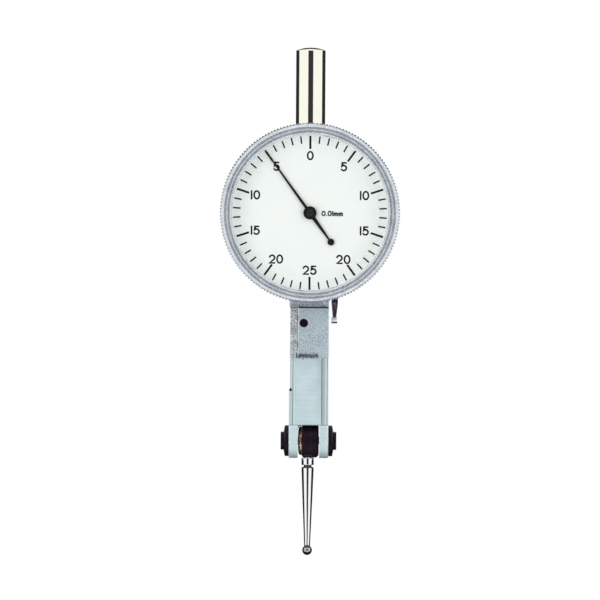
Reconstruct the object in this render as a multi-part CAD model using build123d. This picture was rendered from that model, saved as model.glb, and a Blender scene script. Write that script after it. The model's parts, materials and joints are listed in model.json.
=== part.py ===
from build123d import *
from math import cos, pi, radians, sin, sqrt
import os

# Lever-type dial indicator, in millimetres.
# The origin is on the stem's axis, halfway along its bare cylinder. +Z runs up the stem,
# the dial faces -Y, and +X is to the right as the dial is read.
# Stem, arm and fork axle all lie in the plane y = 0. Sizes called front or back are
# measured from that plane.

# Stem
stem_diameter = 6.0
stem_length = 17.2
stem_dome_height = 0.6
stem_spigot_diameter = 4.0
stem_spigot_length = 2.6

# Crystal, whose diameter the bezel, the case and the dial follow
crystal_diameter = 32.8
crystal_thickness = 0.8

# Case
bezel_overhang = 2.05
case_wall = 4.0
case_back = 5.4
case_front = 4.5
boss_step = 1.0
boss_length = 1.8
boss_wall = 1.4
stem_flat_depth = 0.3
neck_length = 2.8
neck_front = 4.3
neck_back = 4.7
neck_hollow_left = 0.9
neck_hollow_depth = 5.8
tenon_length = 5.0

# Back cover and its screws
cover_thickness = 0.8
cover_edge = 0.4
cover_screw_count = 4
cover_screw_first_angle = 45.0
cover_screw_diameter = 1.3
cover_screw_length = 2.4

# Bezel and what turns with it
bezel_wall = 2.05
bezel_gap = 0.3
bezel_length = 5.7
knurl_depth = 0.32
knurl_count = 168
knurl_relief = 0.06
bezel_shoulder_width = 0.9
bezel_shoulder_drop = 0.25
bezel_round_drop = 0.9
bezel_shoulder_share = 0.62
bezel_band_width = 0.85
bezel_band_drop = 0.2
lip_overlap = 0.35
lip_thickness = 0.3
lip_drop = 0.75
spacer_wall = 0.5
dial_thickness = 0.35
dial_bore = 2.4
dial_gap = 0.3
spring_ring_sink = 0.1
spring_ring_wall = 0.45
spring_ring_width = 0.5
spring_ring_gap = 0.08
spring_ring_back = 0.7

# Movement plate and its screws
plate_thickness = 1.0
plate_sink = 0.1
plate_screw_count = 3
plate_screw_diameter = 1.0
plate_screw_length = 1.6

# Pointer, its hub and the centre spindle
pointer_rest_angle = -36.0
pointer_rim_gap = 0.7
pointer_root_width = 0.62
pointer_tip_width = 0.24
tail_reach = 7.33
tail_root_width = 0.86
tail_end_width = 0.33
tail_disc_diameter = 1.4
pointer_thickness = 0.15
pointer_boss_diameter = 2.2
pointer_gap = 0.35
hub_diameter = 2.7
hub_height = 0.65
hub_edge = 0.2
spindle_diameter = 0.6
spindle_nose = 0.4
spindle_pivot_diameter = 0.4
spindle_pivot_length = 1.5
spindle_jewel_diameter = 1.6
spindle_jewel_thickness = 0.6
rear_jewel_diameter = 0.9

# Gears: the sector drives the axle pinion, the crown wheel drives the centre pinion
sector_full_count = 579
sector_tooth_low = -4
sector_tooth_high = 6
axle_pinion_count = 14
crown_count = 68
centre_pinion_count = 10
crown_module = 0.124
addendum_share = 0.9
dedendum_share = 1.2
tooth_root_share = 0.26
tooth_tip_share = 0.11
centre_pinion_length = 0.9
axle_pinion_length = 0.9
crown_face_width = 0.8
crown_rim_depth = 0.7
crown_web_thickness = 0.5
crown_tooth_inset = 0.05

# Crown axle, its bracket and jewels
axle_diameter = 1.0
axle_left = 2.45
axle_right = 2.55
axle_pivot_diameter = 0.5
axle_pivot_length = 0.55
axle_shoulder_gap = 0.05
cheek_thickness = 0.7
bracket_width = 3.2
bracket_back = 1.5
bracket_base_thickness = 0.45
bracket_base_bore = 2.0
bracket_foot_length = 2.0
bracket_screw_diameter = 1.0
bracket_screw_length = 1.3
bracket_screw_proud = 0.3
axle_jewel_diameter = 1.2
axle_jewel_thickness = 0.5
cock_front = 3.0
cock_thickness = 0.8
cock_width = 1.3
cock_left = 0.9

# Hairspring on the crown axle
hairspring_turns = 2.5
hairspring_steps_per_turn = 18
hairspring_inner_diameter = 1.9
hairspring_outer_diameter = 5.8
hairspring_strip = 0.08
hairspring_width = 0.22
collet_diameter = 1.8
collet_length = 0.3
hairspring_stud_size = 0.5

# Arm: its long axis runs from the neck down to the fork
arm_width = 8.1
arm_top_depth = 9.8
arm_ledge_front = 4.6
arm_top_length = 10.45
arm_lower_front = 4.2
arm_lower_back = 4.3
arm_edge = 0.2
hollow_left = 2.25
hollow_right = 2.4
hollow_depth = 5.2
hollow_floor = 1.9
throat_depth = 4.2
pocket_left = 3.0
pocket_right = 2.7
pocket_ledge_rise = 0.85
pocket_slope_length = 1.1
pocket_wall = 0.2
pocket_floor = 3.45
pocket_corner = 0.6
fork_slot_width = 4.4
fork_slot_rise = 3.2
fork_slot_corner = 0.35
drum_clearance = 0.1
ear_radius = 3.55
arm_screw_x = -1.1
arm_screw_inset = 3.3
arm_screw_diameter = 1.75
arm_screw_length = 3.2
arm_screw_sink = 0.5

# Side cover on the arm's left and its screws
side_cover_inset = 0.2
side_cover_seam = 0.06
side_cover_tongue_length = 6.45
side_cover_tongue_inset = 0.6
tongue_relief_diameter = 0.5
tongue_relief_depth = 1.2
side_screw_top_inset = 2.3
side_screw_bottom_inset = 2.65
side_screw_edge = 1.35
side_screw_diameter = 1.2
side_screw_length = 2.6

# Measuring lever with its sector gear
lever_reach = 46.6
lever_hub_left = 1.1
lever_hub_right = 2.1
lever_hub_edge = 0.5
lever_plate_left = 1.25
lever_plate_right = 2.05
lever_root_width = 3.4
lever_top_width = 2.0
lever_top_drop = 6.5
sector_plate_thickness = 0.5
sector_plate_length = 8.0
sector_plate_width = 2.0
sector_rim_depth = 1.4
rivet_diameter = 0.7
rivet_spacing = 1.4
rivet_proud = 0.15
spring_stud_inset = 4.8
spring_stud_diameter = 0.4
spring_stud_proud = 0.32
stop_pin_rise = 4.0
stop_pin_diameter = 0.8
stop_pin_seat = 0.6
stop_gap = 0.04
lever_travel_angle = 1.536

# Fork axle and its bearings
lever_axle_diameter = 1.6
axle_tip_diameter = 0.3
axle_cone_length = 0.7
axle_body_inset = 0.05
bearing_shank_diameter = 3.0
bearing_shank_sink = 0.05
bearing_cup_depth = 0.8
bearing_head_diameter = 3.7
bearing_head_height = 0.6
lock_nut_diameter = 6.3
lock_nut_thickness = 1.05
lock_nut_rim = 0.8

# Stylus holder and friction washer
holder_diameter = 6.9
holder_left = 1.35
holder_edge = 0.5
washer_thickness = 0.22
washer_bore = 1.9
washer_outer_diameter = 5.9
washer_left = 2.12

# Stylus
stylus_length = 22.4
ball_diameter = 2.0
collar_length = 1.47
collar_diameter = 2.5
collar_edge = 0.12
stud_diameter = 1.2
stud_start = 1.7
stylus_neck_diameter = 1.56
stylus_neck_length = 0.35
head_start_diameter = 2.2
head_diameter = 2.5
head_rise = 0.35
taper_break = 11.6
taper_break_diameter = 2.04
taper_end_diameter = 1.2

# Reversing lever, its shaft and spring
reverse_rise = 2.2
reverse_tilt = 15.0
reverse_hub_diameter = 2.6
reverse_inner = 4.53
reverse_outer = 5.86
reverse_bar_inner = 4.85
reverse_bar_outer = 5.5
reverse_reach = 5.7
reverse_tip_length = 1.15
reverse_tip_inner = 4.53
reverse_tip_outer = 5.75
reverse_bar_width = 1.7
reverse_neck_width = 1.3
reverse_shaft_diameter = 1.2
reverse_shaft_end = 5.3
crank_diameter = 2.4
crank_thickness = 0.5
crank_recess = 0.65
crank_pin_diameter = 0.36
crank_pin_radius = 0.85
crank_pin_length = 0.3
spring_strip_width = 0.3
spring_strip_thickness = 0.12
spring_strip_gap = 0.1
spring_eye_diameter = 0.8

# Fits and cuts
seat_gap = 0.01
run_gap = 0.03
face_gap = 0.05
overrun = 2.0

# Places worked out from the sizes above
bezel_diameter = crystal_diameter + 2 * bezel_wall
case_radius = bezel_diameter / 2 - bezel_overhang
cavity_radius = case_radius - case_wall
boss_radius = case_radius - boss_step
plate_radius = boss_radius - boss_wall
plate_screw_circle = plate_radius + cavity_radius
spring_ring_inner = boss_radius - spring_ring_sink
spring_ring_outer = spring_ring_inner + spring_ring_wall
pointer_tip_reach = crystal_diameter / 2 - spacer_wall - pointer_rim_gap
arm_half = arm_width / 2
stem_foot_z = -stem_length / 2
dial_z = stem_foot_z - case_radius + stem_flat_depth
pivot_z = dial_z - lever_reach
ball_z = pivot_z - stylus_length
boss_y = -case_front - boss_length
plate_front_y = boss_y + plate_sink
plate_back_y = plate_front_y + plate_thickness
bezel_back_y = -case_front - bezel_gap
spring_ring_back_y = bezel_back_y - spring_ring_back
bezel_front_y = bezel_back_y - bezel_length
crystal_front_y = bezel_front_y + lip_drop + lip_thickness
crystal_back_y = crystal_front_y + crystal_thickness
dial_back_y = boss_y - dial_gap
dial_front_y = dial_back_y - dial_thickness
pointer_back_y = dial_front_y - pointer_gap
pointer_front_y = pointer_back_y - pointer_thickness
sector_module = 2 * lever_reach / (sector_full_count + axle_pinion_count)
sector_radius = sector_module * sector_full_count / 2
axle_pinion_radius = sector_module * axle_pinion_count / 2
crown_radius = crown_module * crown_count / 2
centre_pinion_radius = crown_module * centre_pinion_count / 2
crown_root_x = -centre_pinion_radius - dedendum_share * crown_module
crown_web_x = crown_root_x - crown_rim_depth
bracket_base_back_y = plate_back_y + bracket_base_thickness
left_cheek_x = -axle_left - axle_shoulder_gap
right_cheek_x = axle_right + axle_shoulder_gap
sector_right_x = lever_plate_left
sector_left_x = sector_right_x - sector_plate_thickness
seam_z = dial_z - case_radius - neck_length
ledge_z = seam_z - arm_top_length
slot_half = fork_slot_width / 2
slot_top_z = pivot_z + fork_slot_rise
arm_screw_z = seam_z - arm_screw_inset
spring_stud_z = seam_z - spring_stud_inset
stop_pin_z = seam_z + stop_pin_rise
reverse_z = seam_z + reverse_rise
side_screw_offset = arm_top_depth / 2 - side_screw_edge
lever_hub_diameter = holder_diameter
holder_right = lever_hub_left - run_gap
stylus_x = (holder_right - holder_left) / 2
collar_start = holder_diameter / 2 + face_gap


def block(x_range, y_range, z_range):
    size = [high - low for low, high in (x_range, y_range, z_range)]
    centre = [(low + high) / 2 for low, high in (x_range, y_range, z_range)]
    return Pos(*centre) * Box(*size)


def rod_x(diameter, x_low, x_high, y=0, z=0):
    return Pos((x_low + x_high) / 2, y, z) * Rot(0, 90, 0) * Cylinder(diameter / 2, x_high - x_low)


def rod_y(diameter, y_low, y_high, x=0, z=0):
    return Pos(x, (y_low + y_high) / 2, z) * Rot(90, 0, 0) * Cylinder(diameter / 2, y_high - y_low)


def rod_z(diameter, z_low, z_high, x=0, y=0):
    return Pos(x, y, (z_low + z_high) / 2) * Cylinder(diameter / 2, z_high - z_low)


def turned_y(outline, x=0, z=dial_z):
    """Turns an outline of (radius, y) points about an axis along Y."""
    face = make_face(Polyline(*outline, close=True))
    return Pos(x, 0, z) * revolve(face, Axis.Y)


def turned_x(outline, z):
    """Turns an outline of (x, radius) points about an axis along X."""
    face = make_face(Plane.XZ * Polyline(*outline, close=True))
    return Pos(0, 0, z) * revolve(face, Axis.X)


def side_plate(outline, x_low, x_high):
    """A plate from x_low to x_high with an outline of (y, z) points."""
    face = make_face(Polyline(*outline, close=True))
    return extrude(Plane.YZ.offset(x_low) * face, x_high - x_low)


def dial_plane(y):
    """A plane across the dial's axis, with its second direction pointing down."""
    return Plane((0, y, dial_z), x_dir=(1, 0, 0), z_dir=(0, 1, 0))


def on_circle(diameter, count, first_angle=0):
    """Evenly spaced (x, z) places round the dial's axis."""
    angles = [radians(first_angle + 360 * index / count) for index in range(count)]
    return [(diameter / 2 * sin(a), dial_z + diameter / 2 * cos(a)) for a in angles]


def gear_points(pitch_radius, module, full_count, indices, phase=0):
    """Points round a gear's teeth. Angles run from the second axis towards the first."""
    pitch_angle = 2 * pi / full_count
    root = pitch_radius - dedendum_share * module
    tip = pitch_radius + addendum_share * module
    half_root = tooth_root_share * pitch_angle
    half_tip = tooth_tip_share * pitch_angle
    points = []
    for index in indices:
        middle = phase + index * pitch_angle
        corners = ((root, -half_root), (tip, -half_tip), (tip, half_tip), (root, half_root))
        for radius, turn in corners:
            points.append((radius * sin(middle + turn), radius * cos(middle + turn)))
    return points


# The rod on top that a holder clamps, with its spigot in the case
def stem():
    radius = stem_diameter / 2
    spigot = stem_spigot_diameter / 2
    top_z = stem_length / 2
    foot_z = stem_foot_z - stem_spigot_length
    sides = Polyline((0, top_z + stem_dome_height), (0, foot_z), (spigot, foot_z))
    sides += Polyline((spigot, foot_z), (spigot, stem_foot_z), (radius, stem_foot_z), (radius, top_z))
    dome_radius = (radius**2 + stem_dome_height**2) / (2 * stem_dome_height)
    half_way = radius / 2
    rise = sqrt(dome_radius**2 - half_way**2) - (dome_radius - stem_dome_height)
    dome = ThreePointArc((radius, top_z), (half_way, top_z + rise), (0, top_z + stem_dome_height))
    return revolve(make_face(Plane.XZ * (sides + dome)), Axis.Z)


# The case: a ring open behind, with a boss for the bezel in front and the neck below
def case_body():
    recess_radius = plate_radius + seat_gap
    ring = turned_y(
        [
            (cavity_radius, case_back),
            (case_radius, case_back),
            (case_radius, -case_front),
            (boss_radius, -case_front),
            (boss_radius, boss_y),
            (recess_radius, boss_y),
            (recess_radius, plate_back_y),
            (cavity_radius, plate_back_y),
        ]
    )
    neck = block((-arm_half, arm_half), (-neck_front, neck_back), (seam_z, dial_z - cavity_radius))
    neck = fillet(neck.edges().filter_by(Axis.Z), arm_edge)
    neck -= rod_y(2 * cavity_radius, -neck_front - overrun, neck_back + overrun, 0, dial_z)
    tenon = block(
        (-hollow_left + face_gap, neck_hollow_left),
        (-hollow_depth / 2 + face_gap, hollow_depth / 2 - face_gap),
        (seam_z - tenon_length, seam_z),
    )
    body = ring + neck + tenon
    body -= block(
        (neck_hollow_left, hollow_right),
        (-neck_hollow_depth / 2, neck_hollow_depth / 2),
        (seam_z - tenon_length - overrun, dial_z - cavity_radius + overrun),
    )
    # flat and bore for the stem
    body -= block(
        (-stem_diameter, stem_diameter),
        (-case_front - overrun, case_back + overrun),
        (stem_foot_z, stem_foot_z + overrun),
    )
    spigot_end = stem_foot_z - stem_spigot_length - face_gap
    body -= rod_z(stem_spigot_diameter + 2 * seat_gap, spigot_end, stem_foot_z + overrun)
    body -= ring_groove(spring_ring_inner - spring_ring_gap, boss_radius + overrun, face_gap)
    # bore and recess for the reversing shaft, in the neck's right wall
    bore = reverse_shaft_diameter + 2 * run_gap
    body -= rod_x(bore, neck_hollow_left, arm_half + overrun, 0, reverse_z)
    recess = crank_diameter + 4 * face_gap
    body -= rod_x(recess, neck_hollow_left, hollow_right + crank_recess, 0, reverse_z)
    for y in stop_pin_places():
        hole_left = neck_hollow_left - stop_pin_seat - face_gap
        hole_right = hollow_right + stop_pin_seat + face_gap
        hole = stop_pin_diameter + 2 * seat_gap
        body -= rod_x(hole, hole_left, hole_right, y, stop_pin_z)
    for x, z in cover_screw_places():
        hole = cover_screw_diameter + 2 * seat_gap
        body -= rod_y(hole, case_back - cover_screw_length, case_back + overrun, x, z)
    for x, z in on_circle(plate_screw_circle, plate_screw_count):
        hole = plate_screw_diameter + 2 * seat_gap
        hole_back = plate_front_y + plate_screw_length + face_gap
        body -= rod_y(hole, plate_back_y - overrun, hole_back, x, z)
    screw_hole = arm_screw_diameter + 2 * seat_gap
    screw_back = -arm_top_depth / 2 + arm_screw_sink + arm_screw_length + face_gap
    body -= rod_y(screw_hole, -arm_top_depth, screw_back, arm_screw_x, arm_screw_z)
    return body


def ring_groove(inner, outer, gap):
    """Space round the spring ring, with a gap in front of it and behind it."""
    front_y = spring_ring_back_y - spring_ring_width
    outline = [
        (inner, spring_ring_back_y + gap),
        (outer, spring_ring_back_y + gap),
        (outer, front_y - gap),
        (inner, front_y - gap),
    ]
    return turned_y(outline)


def cover_screw_places():
    return on_circle(2 * cavity_radius + case_wall, cover_screw_count, cover_screw_first_angle)


# The flat cover that closes the case from behind
def back_cover():
    outside = case_back + cover_thickness
    plate = turned_y(
        [
            (0, case_back),
            (case_radius, case_back),
            (case_radius, outside - cover_edge),
            (case_radius - cover_edge, outside),
            (0, outside),
        ]
    )
    for x, z in cover_screw_places():
        plate -= rod_y(cover_screw_diameter + 2 * seat_gap, case_back, outside, x, z)
    return plate


def back_cover_screws():
    outside = case_back + cover_thickness
    inside = outside - cover_screw_length
    return [rod_y(cover_screw_diameter, inside, outside, x, z) for x, z in cover_screw_places()]


# The knurled ring that turns the dial
def bezel():
    knurl_root = bezel_diameter / 2 - knurl_depth
    bore = boss_radius + run_gap
    seat = crystal_diameter / 2 + seat_gap
    rim = bezel_diameter / 2 - bezel_shoulder_width
    window = crystal_diameter / 2 - lip_overlap
    knurl_front_y = bezel_front_y + bezel_round_drop
    shoulder = rim + (knurl_root - rim) * bezel_shoulder_share
    body = turned_y(
        [
            (bore, bezel_back_y),
            (knurl_root - knurl_relief, bezel_back_y),
            (knurl_root - knurl_relief, knurl_front_y),
            (shoulder, bezel_front_y + bezel_shoulder_drop),
            (rim, bezel_front_y),
            (rim - bezel_band_width, bezel_front_y + bezel_band_drop),
            (window, bezel_front_y + lip_drop),
            (window, crystal_front_y),
            (seat, crystal_front_y),
            (seat, dial_back_y),
            (bore, dial_back_y),
        ]
    )
    teeth = []
    for index in range(knurl_count):
        for half_steps, radius in ((0, bezel_diameter / 2), (1, knurl_root)):
            angle = pi * (2 * index + half_steps) / knurl_count
            teeth.append((radius * sin(angle), radius * cos(angle)))
    band = make_face(Polyline(*teeth, close=True)) - Circle((bore + knurl_root) / 2)
    body += extrude(dial_plane(knurl_front_y) * band, bezel_back_y - knurl_front_y)
    return body - ring_groove(bore - seat_gap, spring_ring_outer + seat_gap, seat_gap)


# Split spring ring that holds the bezel on the boss
def bezel_spring_ring():
    split = block(
        (-spring_ring_width, spring_ring_width),
        (spring_ring_back_y - overrun, spring_ring_back_y + overrun),
        (dial_z - spring_ring_outer - overrun, dial_z),
    )
    return ring_groove(spring_ring_inner, spring_ring_outer, 0) - split


def crystal():
    return rod_y(crystal_diameter, crystal_front_y, crystal_back_y, 0, dial_z)


# Pale ring that keeps the crystal off the dial
def spacer_ring():
    ring = rod_y(crystal_diameter, crystal_back_y, dial_front_y, 0, dial_z)
    bore = crystal_diameter - 2 * spacer_wall
    return ring - rod_y(bore, crystal_back_y - overrun, dial_front_y + overrun, 0, dial_z)


def dial():
    disc = rod_y(crystal_diameter, dial_front_y, dial_back_y, 0, dial_z)
    return disc - rod_y(dial_bore, dial_front_y - overrun, dial_back_y + overrun, 0, dial_z)


# Brass plate in the boss that carries the movement
def movement_plate():
    plate = rod_y(2 * plate_radius, plate_front_y, plate_back_y, 0, dial_z)
    jewel_hole = spindle_jewel_diameter + 2 * seat_gap
    jewel_front = plate_back_y - spindle_jewel_thickness
    plate -= rod_y(jewel_hole, jewel_front, plate_back_y + overrun, 0, dial_z)
    plate -= rod_y(axle_diameter, plate_front_y - overrun, plate_back_y, 0, dial_z)
    for x, z in on_circle(plate_screw_circle, plate_screw_count):
        hole = plate_screw_diameter + 2 * seat_gap
        plate -= rod_y(hole, plate_front_y, plate_back_y, x, z)
    for x in bracket_screw_places():
        hole = bracket_screw_diameter + 2 * seat_gap
        hole_front = bracket_base_back_y + bracket_screw_proud - bracket_screw_length
        plate -= rod_y(hole, hole_front - face_gap, plate_back_y + overrun, x, dial_z)
    return plate


def movement_plate_screws():
    places = on_circle(plate_screw_circle, plate_screw_count)
    back_y = plate_front_y + plate_screw_length
    return [rod_y(plate_screw_diameter, plate_front_y, back_y, x, z) for x, z in places]


# Thin black hand: tapered blade, tapered tail and a small disc at its end
def pointer():
    blade = make_face(
        Polyline(
            (-pointer_root_width / 2, 0),
            (-pointer_tip_width / 2, -pointer_tip_reach),
            (pointer_tip_width / 2, -pointer_tip_reach),
            (pointer_root_width / 2, 0),
            close=True,
        )
    )
    tail = make_face(
        Polyline(
            (-tail_root_width / 2, 0),
            (-tail_end_width / 2, tail_reach),
            (tail_end_width / 2, tail_reach),
            (tail_root_width / 2, 0),
            close=True,
        )
    )
    outline = blade + tail + Circle(pointer_boss_diameter / 2)
    outline += Pos(0, tail_reach) * Circle(tail_disc_diameter / 2)
    outline -= Circle(spindle_diameter / 2 + seat_gap)
    turned = Rot(0, 0, pointer_rest_angle) * outline
    return extrude(dial_plane(pointer_front_y) * turned, pointer_thickness)


# Domed cap that holds the pointer on its spindle
def pointer_hub():
    radius = hub_diameter / 2
    top_y = pointer_front_y - hub_height
    bore = spindle_diameter / 2 + seat_gap
    bore_y = pointer_front_y - spindle_nose - seat_gap
    edge_y = top_y + hub_edge
    return turned_y(
        [
            (bore, pointer_front_y),
            (radius, pointer_front_y),
            (radius, edge_y),
            (radius - hub_edge, top_y + hub_edge / 4),
            (radius - 2 * hub_edge, top_y),
            (0, top_y),
            (0, bore_y),
            (bore, bore_y),
        ]
    )


# Spindle of the pointer with the pinion that the crown wheel drives
def centre_spindle():
    pinion_y = -crown_radius
    pinion_front = pinion_y - centre_pinion_length / 2
    pinion_back = pinion_y + centre_pinion_length / 2
    nose_y = pointer_front_y - spindle_nose
    body = rod_y(spindle_diameter, nose_y, pinion_front, 0, dial_z)
    pivot_end = pinion_back + spindle_pivot_length
    body += rod_y(spindle_pivot_diameter, pinion_back, pivot_end, 0, dial_z)
    # a tooth space faces the crown wheel, on the left
    gear = gear_points(
        centre_pinion_radius,
        crown_module,
        centre_pinion_count,
        range(centre_pinion_count),
        -pi / 2 + pi / centre_pinion_count,
    )
    face = make_face(Polyline(*gear, close=True))
    return body + extrude(dial_plane(pinion_front) * face, centre_pinion_length)


def spindle_jewels():
    hole = spindle_diameter + 2 * run_gap
    jewel_front = plate_back_y - spindle_jewel_thickness
    front = rod_y(spindle_jewel_diameter, jewel_front, plate_back_y, 0, dial_z)
    front -= rod_y(hole, jewel_front - overrun, plate_back_y + overrun, 0, dial_z)
    rear_hole = spindle_pivot_diameter + 2 * run_gap
    cock_y = -cock_front
    rear = rod_y(rear_jewel_diameter, cock_y, cock_y + cock_thickness, 0, dial_z)
    rear -= rod_y(rear_hole, cock_y - overrun, cock_y + cock_thickness, 0, dial_z)
    return [front, rear]


def bracket_screw_places():
    foot = bracket_foot_length / 2
    return (left_cheek_x - cheek_thickness - foot, right_cheek_x + cheek_thickness + foot)


# U-shaped bracket on the movement plate: two cheeks for the crown axle and a short cock
# for the rear end of the centre spindle
def axle_bracket():
    half = bracket_width / 2
    heights = (dial_z - half, dial_z + half)
    left_outer = left_cheek_x - cheek_thickness
    right_outer = right_cheek_x + cheek_thickness
    base = block(
        (left_outer - bracket_foot_length, right_outer + bracket_foot_length),
        (plate_back_y, bracket_base_back_y),
        heights,
    )
    left = block((left_outer, left_cheek_x), (plate_back_y, bracket_back), heights)
    right = block((right_cheek_x, right_outer), (plate_back_y, bracket_back), heights)
    cock = block(
        (-cock_left, right_cheek_x),
        (-cock_front, -cock_front + cock_thickness),
        (dial_z - cock_width / 2, dial_z + cock_width / 2),
    )
    body = base + left + right + cock
    body -= rod_y(bracket_base_bore, plate_back_y - overrun, bracket_base_back_y, 0, dial_z)
    rear_hole = rear_jewel_diameter + 2 * seat_gap
    body -= rod_y(rear_hole, -cock_front - overrun, -cock_front + cock_thickness, 0, dial_z)
    jewel_hole = axle_jewel_diameter + 2 * seat_gap
    body -= rod_x(jewel_hole, left_cheek_x - axle_jewel_thickness, left_cheek_x, 0, dial_z)
    body -= rod_x(jewel_hole, right_cheek_x, right_cheek_x + axle_jewel_thickness, 0, dial_z)
    for x in bracket_screw_places():
        hole = bracket_screw_diameter + 2 * seat_gap
        body -= rod_y(hole, plate_back_y - overrun, bracket_base_back_y + overrun, x, dial_z)
    return body


def axle_bracket_screws():
    back_y = bracket_base_back_y + bracket_screw_proud
    front_y = back_y - bracket_screw_length
    return [rod_y(bracket_screw_diameter, front_y, back_y, x, dial_z) for x in bracket_screw_places()]


def axle_jewels():
    hole = axle_pivot_diameter + 2 * run_gap
    jewels = []
    for low in (left_cheek_x - axle_jewel_thickness, right_cheek_x):
        high = low + axle_jewel_thickness
        jewel = rod_x(axle_jewel_diameter, low, high, 0, dial_z)
        jewels.append(jewel - rod_x(hole, low, high, 0, dial_z))
    return jewels


# Axle across the case: its pinion is driven by the sector, its crown wheel drives the pointer
def crown_axle():
    body = rod_x(axle_diameter, -axle_left, axle_right, 0, dial_z)
    pivot_left = -axle_left - axle_pivot_length
    body += rod_x(axle_pivot_diameter, pivot_left, axle_right + axle_pivot_length, 0, dial_z)
    middle = (sector_left_x + sector_right_x) / 2
    # a tooth space faces the sector, straight down
    gear = gear_points(
        axle_pinion_radius,
        sector_module,
        axle_pinion_count,
        range(axle_pinion_count),
        pi + pi / axle_pinion_count,
    )
    face = make_face(Polyline(*gear, close=True))
    left_x = middle - axle_pinion_length / 2
    plane = Plane((left_x, 0, dial_z), x_dir=(0, 1, 0), z_dir=(1, 0, 0))
    return body + extrude(plane * face, axle_pinion_length)


# Crown wheel: its teeth stand up from the right-hand face of its rim
def crown_wheel():
    inner = crown_radius - crown_face_width / 2
    outer = crown_radius + crown_face_width / 2
    web_left = crown_web_x - crown_web_thickness
    bore = axle_diameter / 2 + seat_gap
    body = turned_x(
        [
            (web_left, bore),
            (web_left, outer),
            (crown_root_x, outer),
            (crown_root_x, inner),
            (crown_web_x, inner),
            (crown_web_x, bore),
        ],
        dial_z,
    )
    pitch = 2 * pi * crown_radius / crown_count
    half_root = tooth_root_share * pitch
    half_tip = tooth_tip_share * pitch
    tip_x = -centre_pinion_radius + addendum_share * crown_module
    profile = [
        (crown_root_x - seat_gap, -half_root),
        (tip_x, -half_tip),
        (tip_x, half_tip),
        (crown_root_x - seat_gap, half_root),
    ]
    face = make_face(Polyline(*profile, close=True))
    tooth_length = crown_face_width - 2 * crown_tooth_inset
    tooth = extrude(Plane.XY.offset(inner + crown_tooth_inset) * face, tooth_length)
    teeth = []
    for index in range(crown_count):
        turn = 90 + 360 * index / crown_count
        teeth.append(Pos(0, 0, dial_z) * Rot(turn, 0, 0) * tooth)
    return body + teeth


# Flat spiral spring that takes the play out of the teeth
def hairspring():
    inner = hairspring_inner_diameter / 2
    outer = hairspring_outer_diameter / 2
    steps = round(hairspring_turns * hairspring_steps_per_turn)
    end_angle = -pi / 2

    def spiral(offset):
        points = []
        for step in range(steps + 1):
            share = step / steps
            radius = inner + (outer - inner) * share + offset
            angle = end_angle - 2 * pi * hairspring_turns * (1 - share)
            points.append((radius * sin(angle), radius * cos(angle)))
        return points

    rim = spiral(-hairspring_strip / 2) + spiral(hairspring_strip / 2)[::-1]
    left_x = -axle_left + face_gap
    plane = Plane((left_x, 0, dial_z), x_dir=(0, 1, 0), z_dir=(1, 0, 0))
    return extrude(plane * make_face(Polyline(*rim, close=True)), hairspring_width)


def hairspring_collet():
    left_x = -axle_left + face_gap
    collet = rod_x(collet_diameter, left_x, left_x + collet_length, 0, dial_z)
    return collet - rod_x(axle_diameter + 2 * seat_gap, left_x, left_x + collet_length, 0, dial_z)


def hairspring_stud():
    middle = -hairspring_outer_diameter / 2 - hairspring_stud_size / 2 - face_gap
    half = hairspring_stud_size / 2
    return block(
        (left_cheek_x, left_cheek_x + hairspring_stud_size),
        (middle - half, middle + half),
        (dial_z - half, dial_z + half),
    )


def arm_front_y(z):
    """Front face of the arm at height z, as a distance in front of the middle plane."""
    if z > ledge_z:
        share = (seam_z - z) / (seam_z - ledge_z)
        return arm_top_depth / 2 + (arm_ledge_front - arm_top_depth / 2) * share
    share = (ledge_z - z) / (ledge_z - pivot_z)
    return arm_lower_front + (ear_radius - arm_lower_front) * share


def arm_prism(x_low, x_high):
    """The arm's side view as a plate: stepped front, sloped back, round end at the fork."""
    sides = Polyline(
        (-ear_radius, pivot_z),
        (-arm_lower_front, ledge_z),
        (-arm_ledge_front, ledge_z),
        (-arm_top_depth / 2, seam_z),
        (arm_top_depth / 2, seam_z),
        (arm_lower_back, ledge_z),
        (ear_radius, pivot_z),
    )
    end = ThreePointArc((ear_radius, pivot_z), (0, pivot_z - ear_radius), (-ear_radius, pivot_z))
    return extrude(Plane.YZ.offset(x_low) * make_face(sides + end), x_high - x_low)


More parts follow.
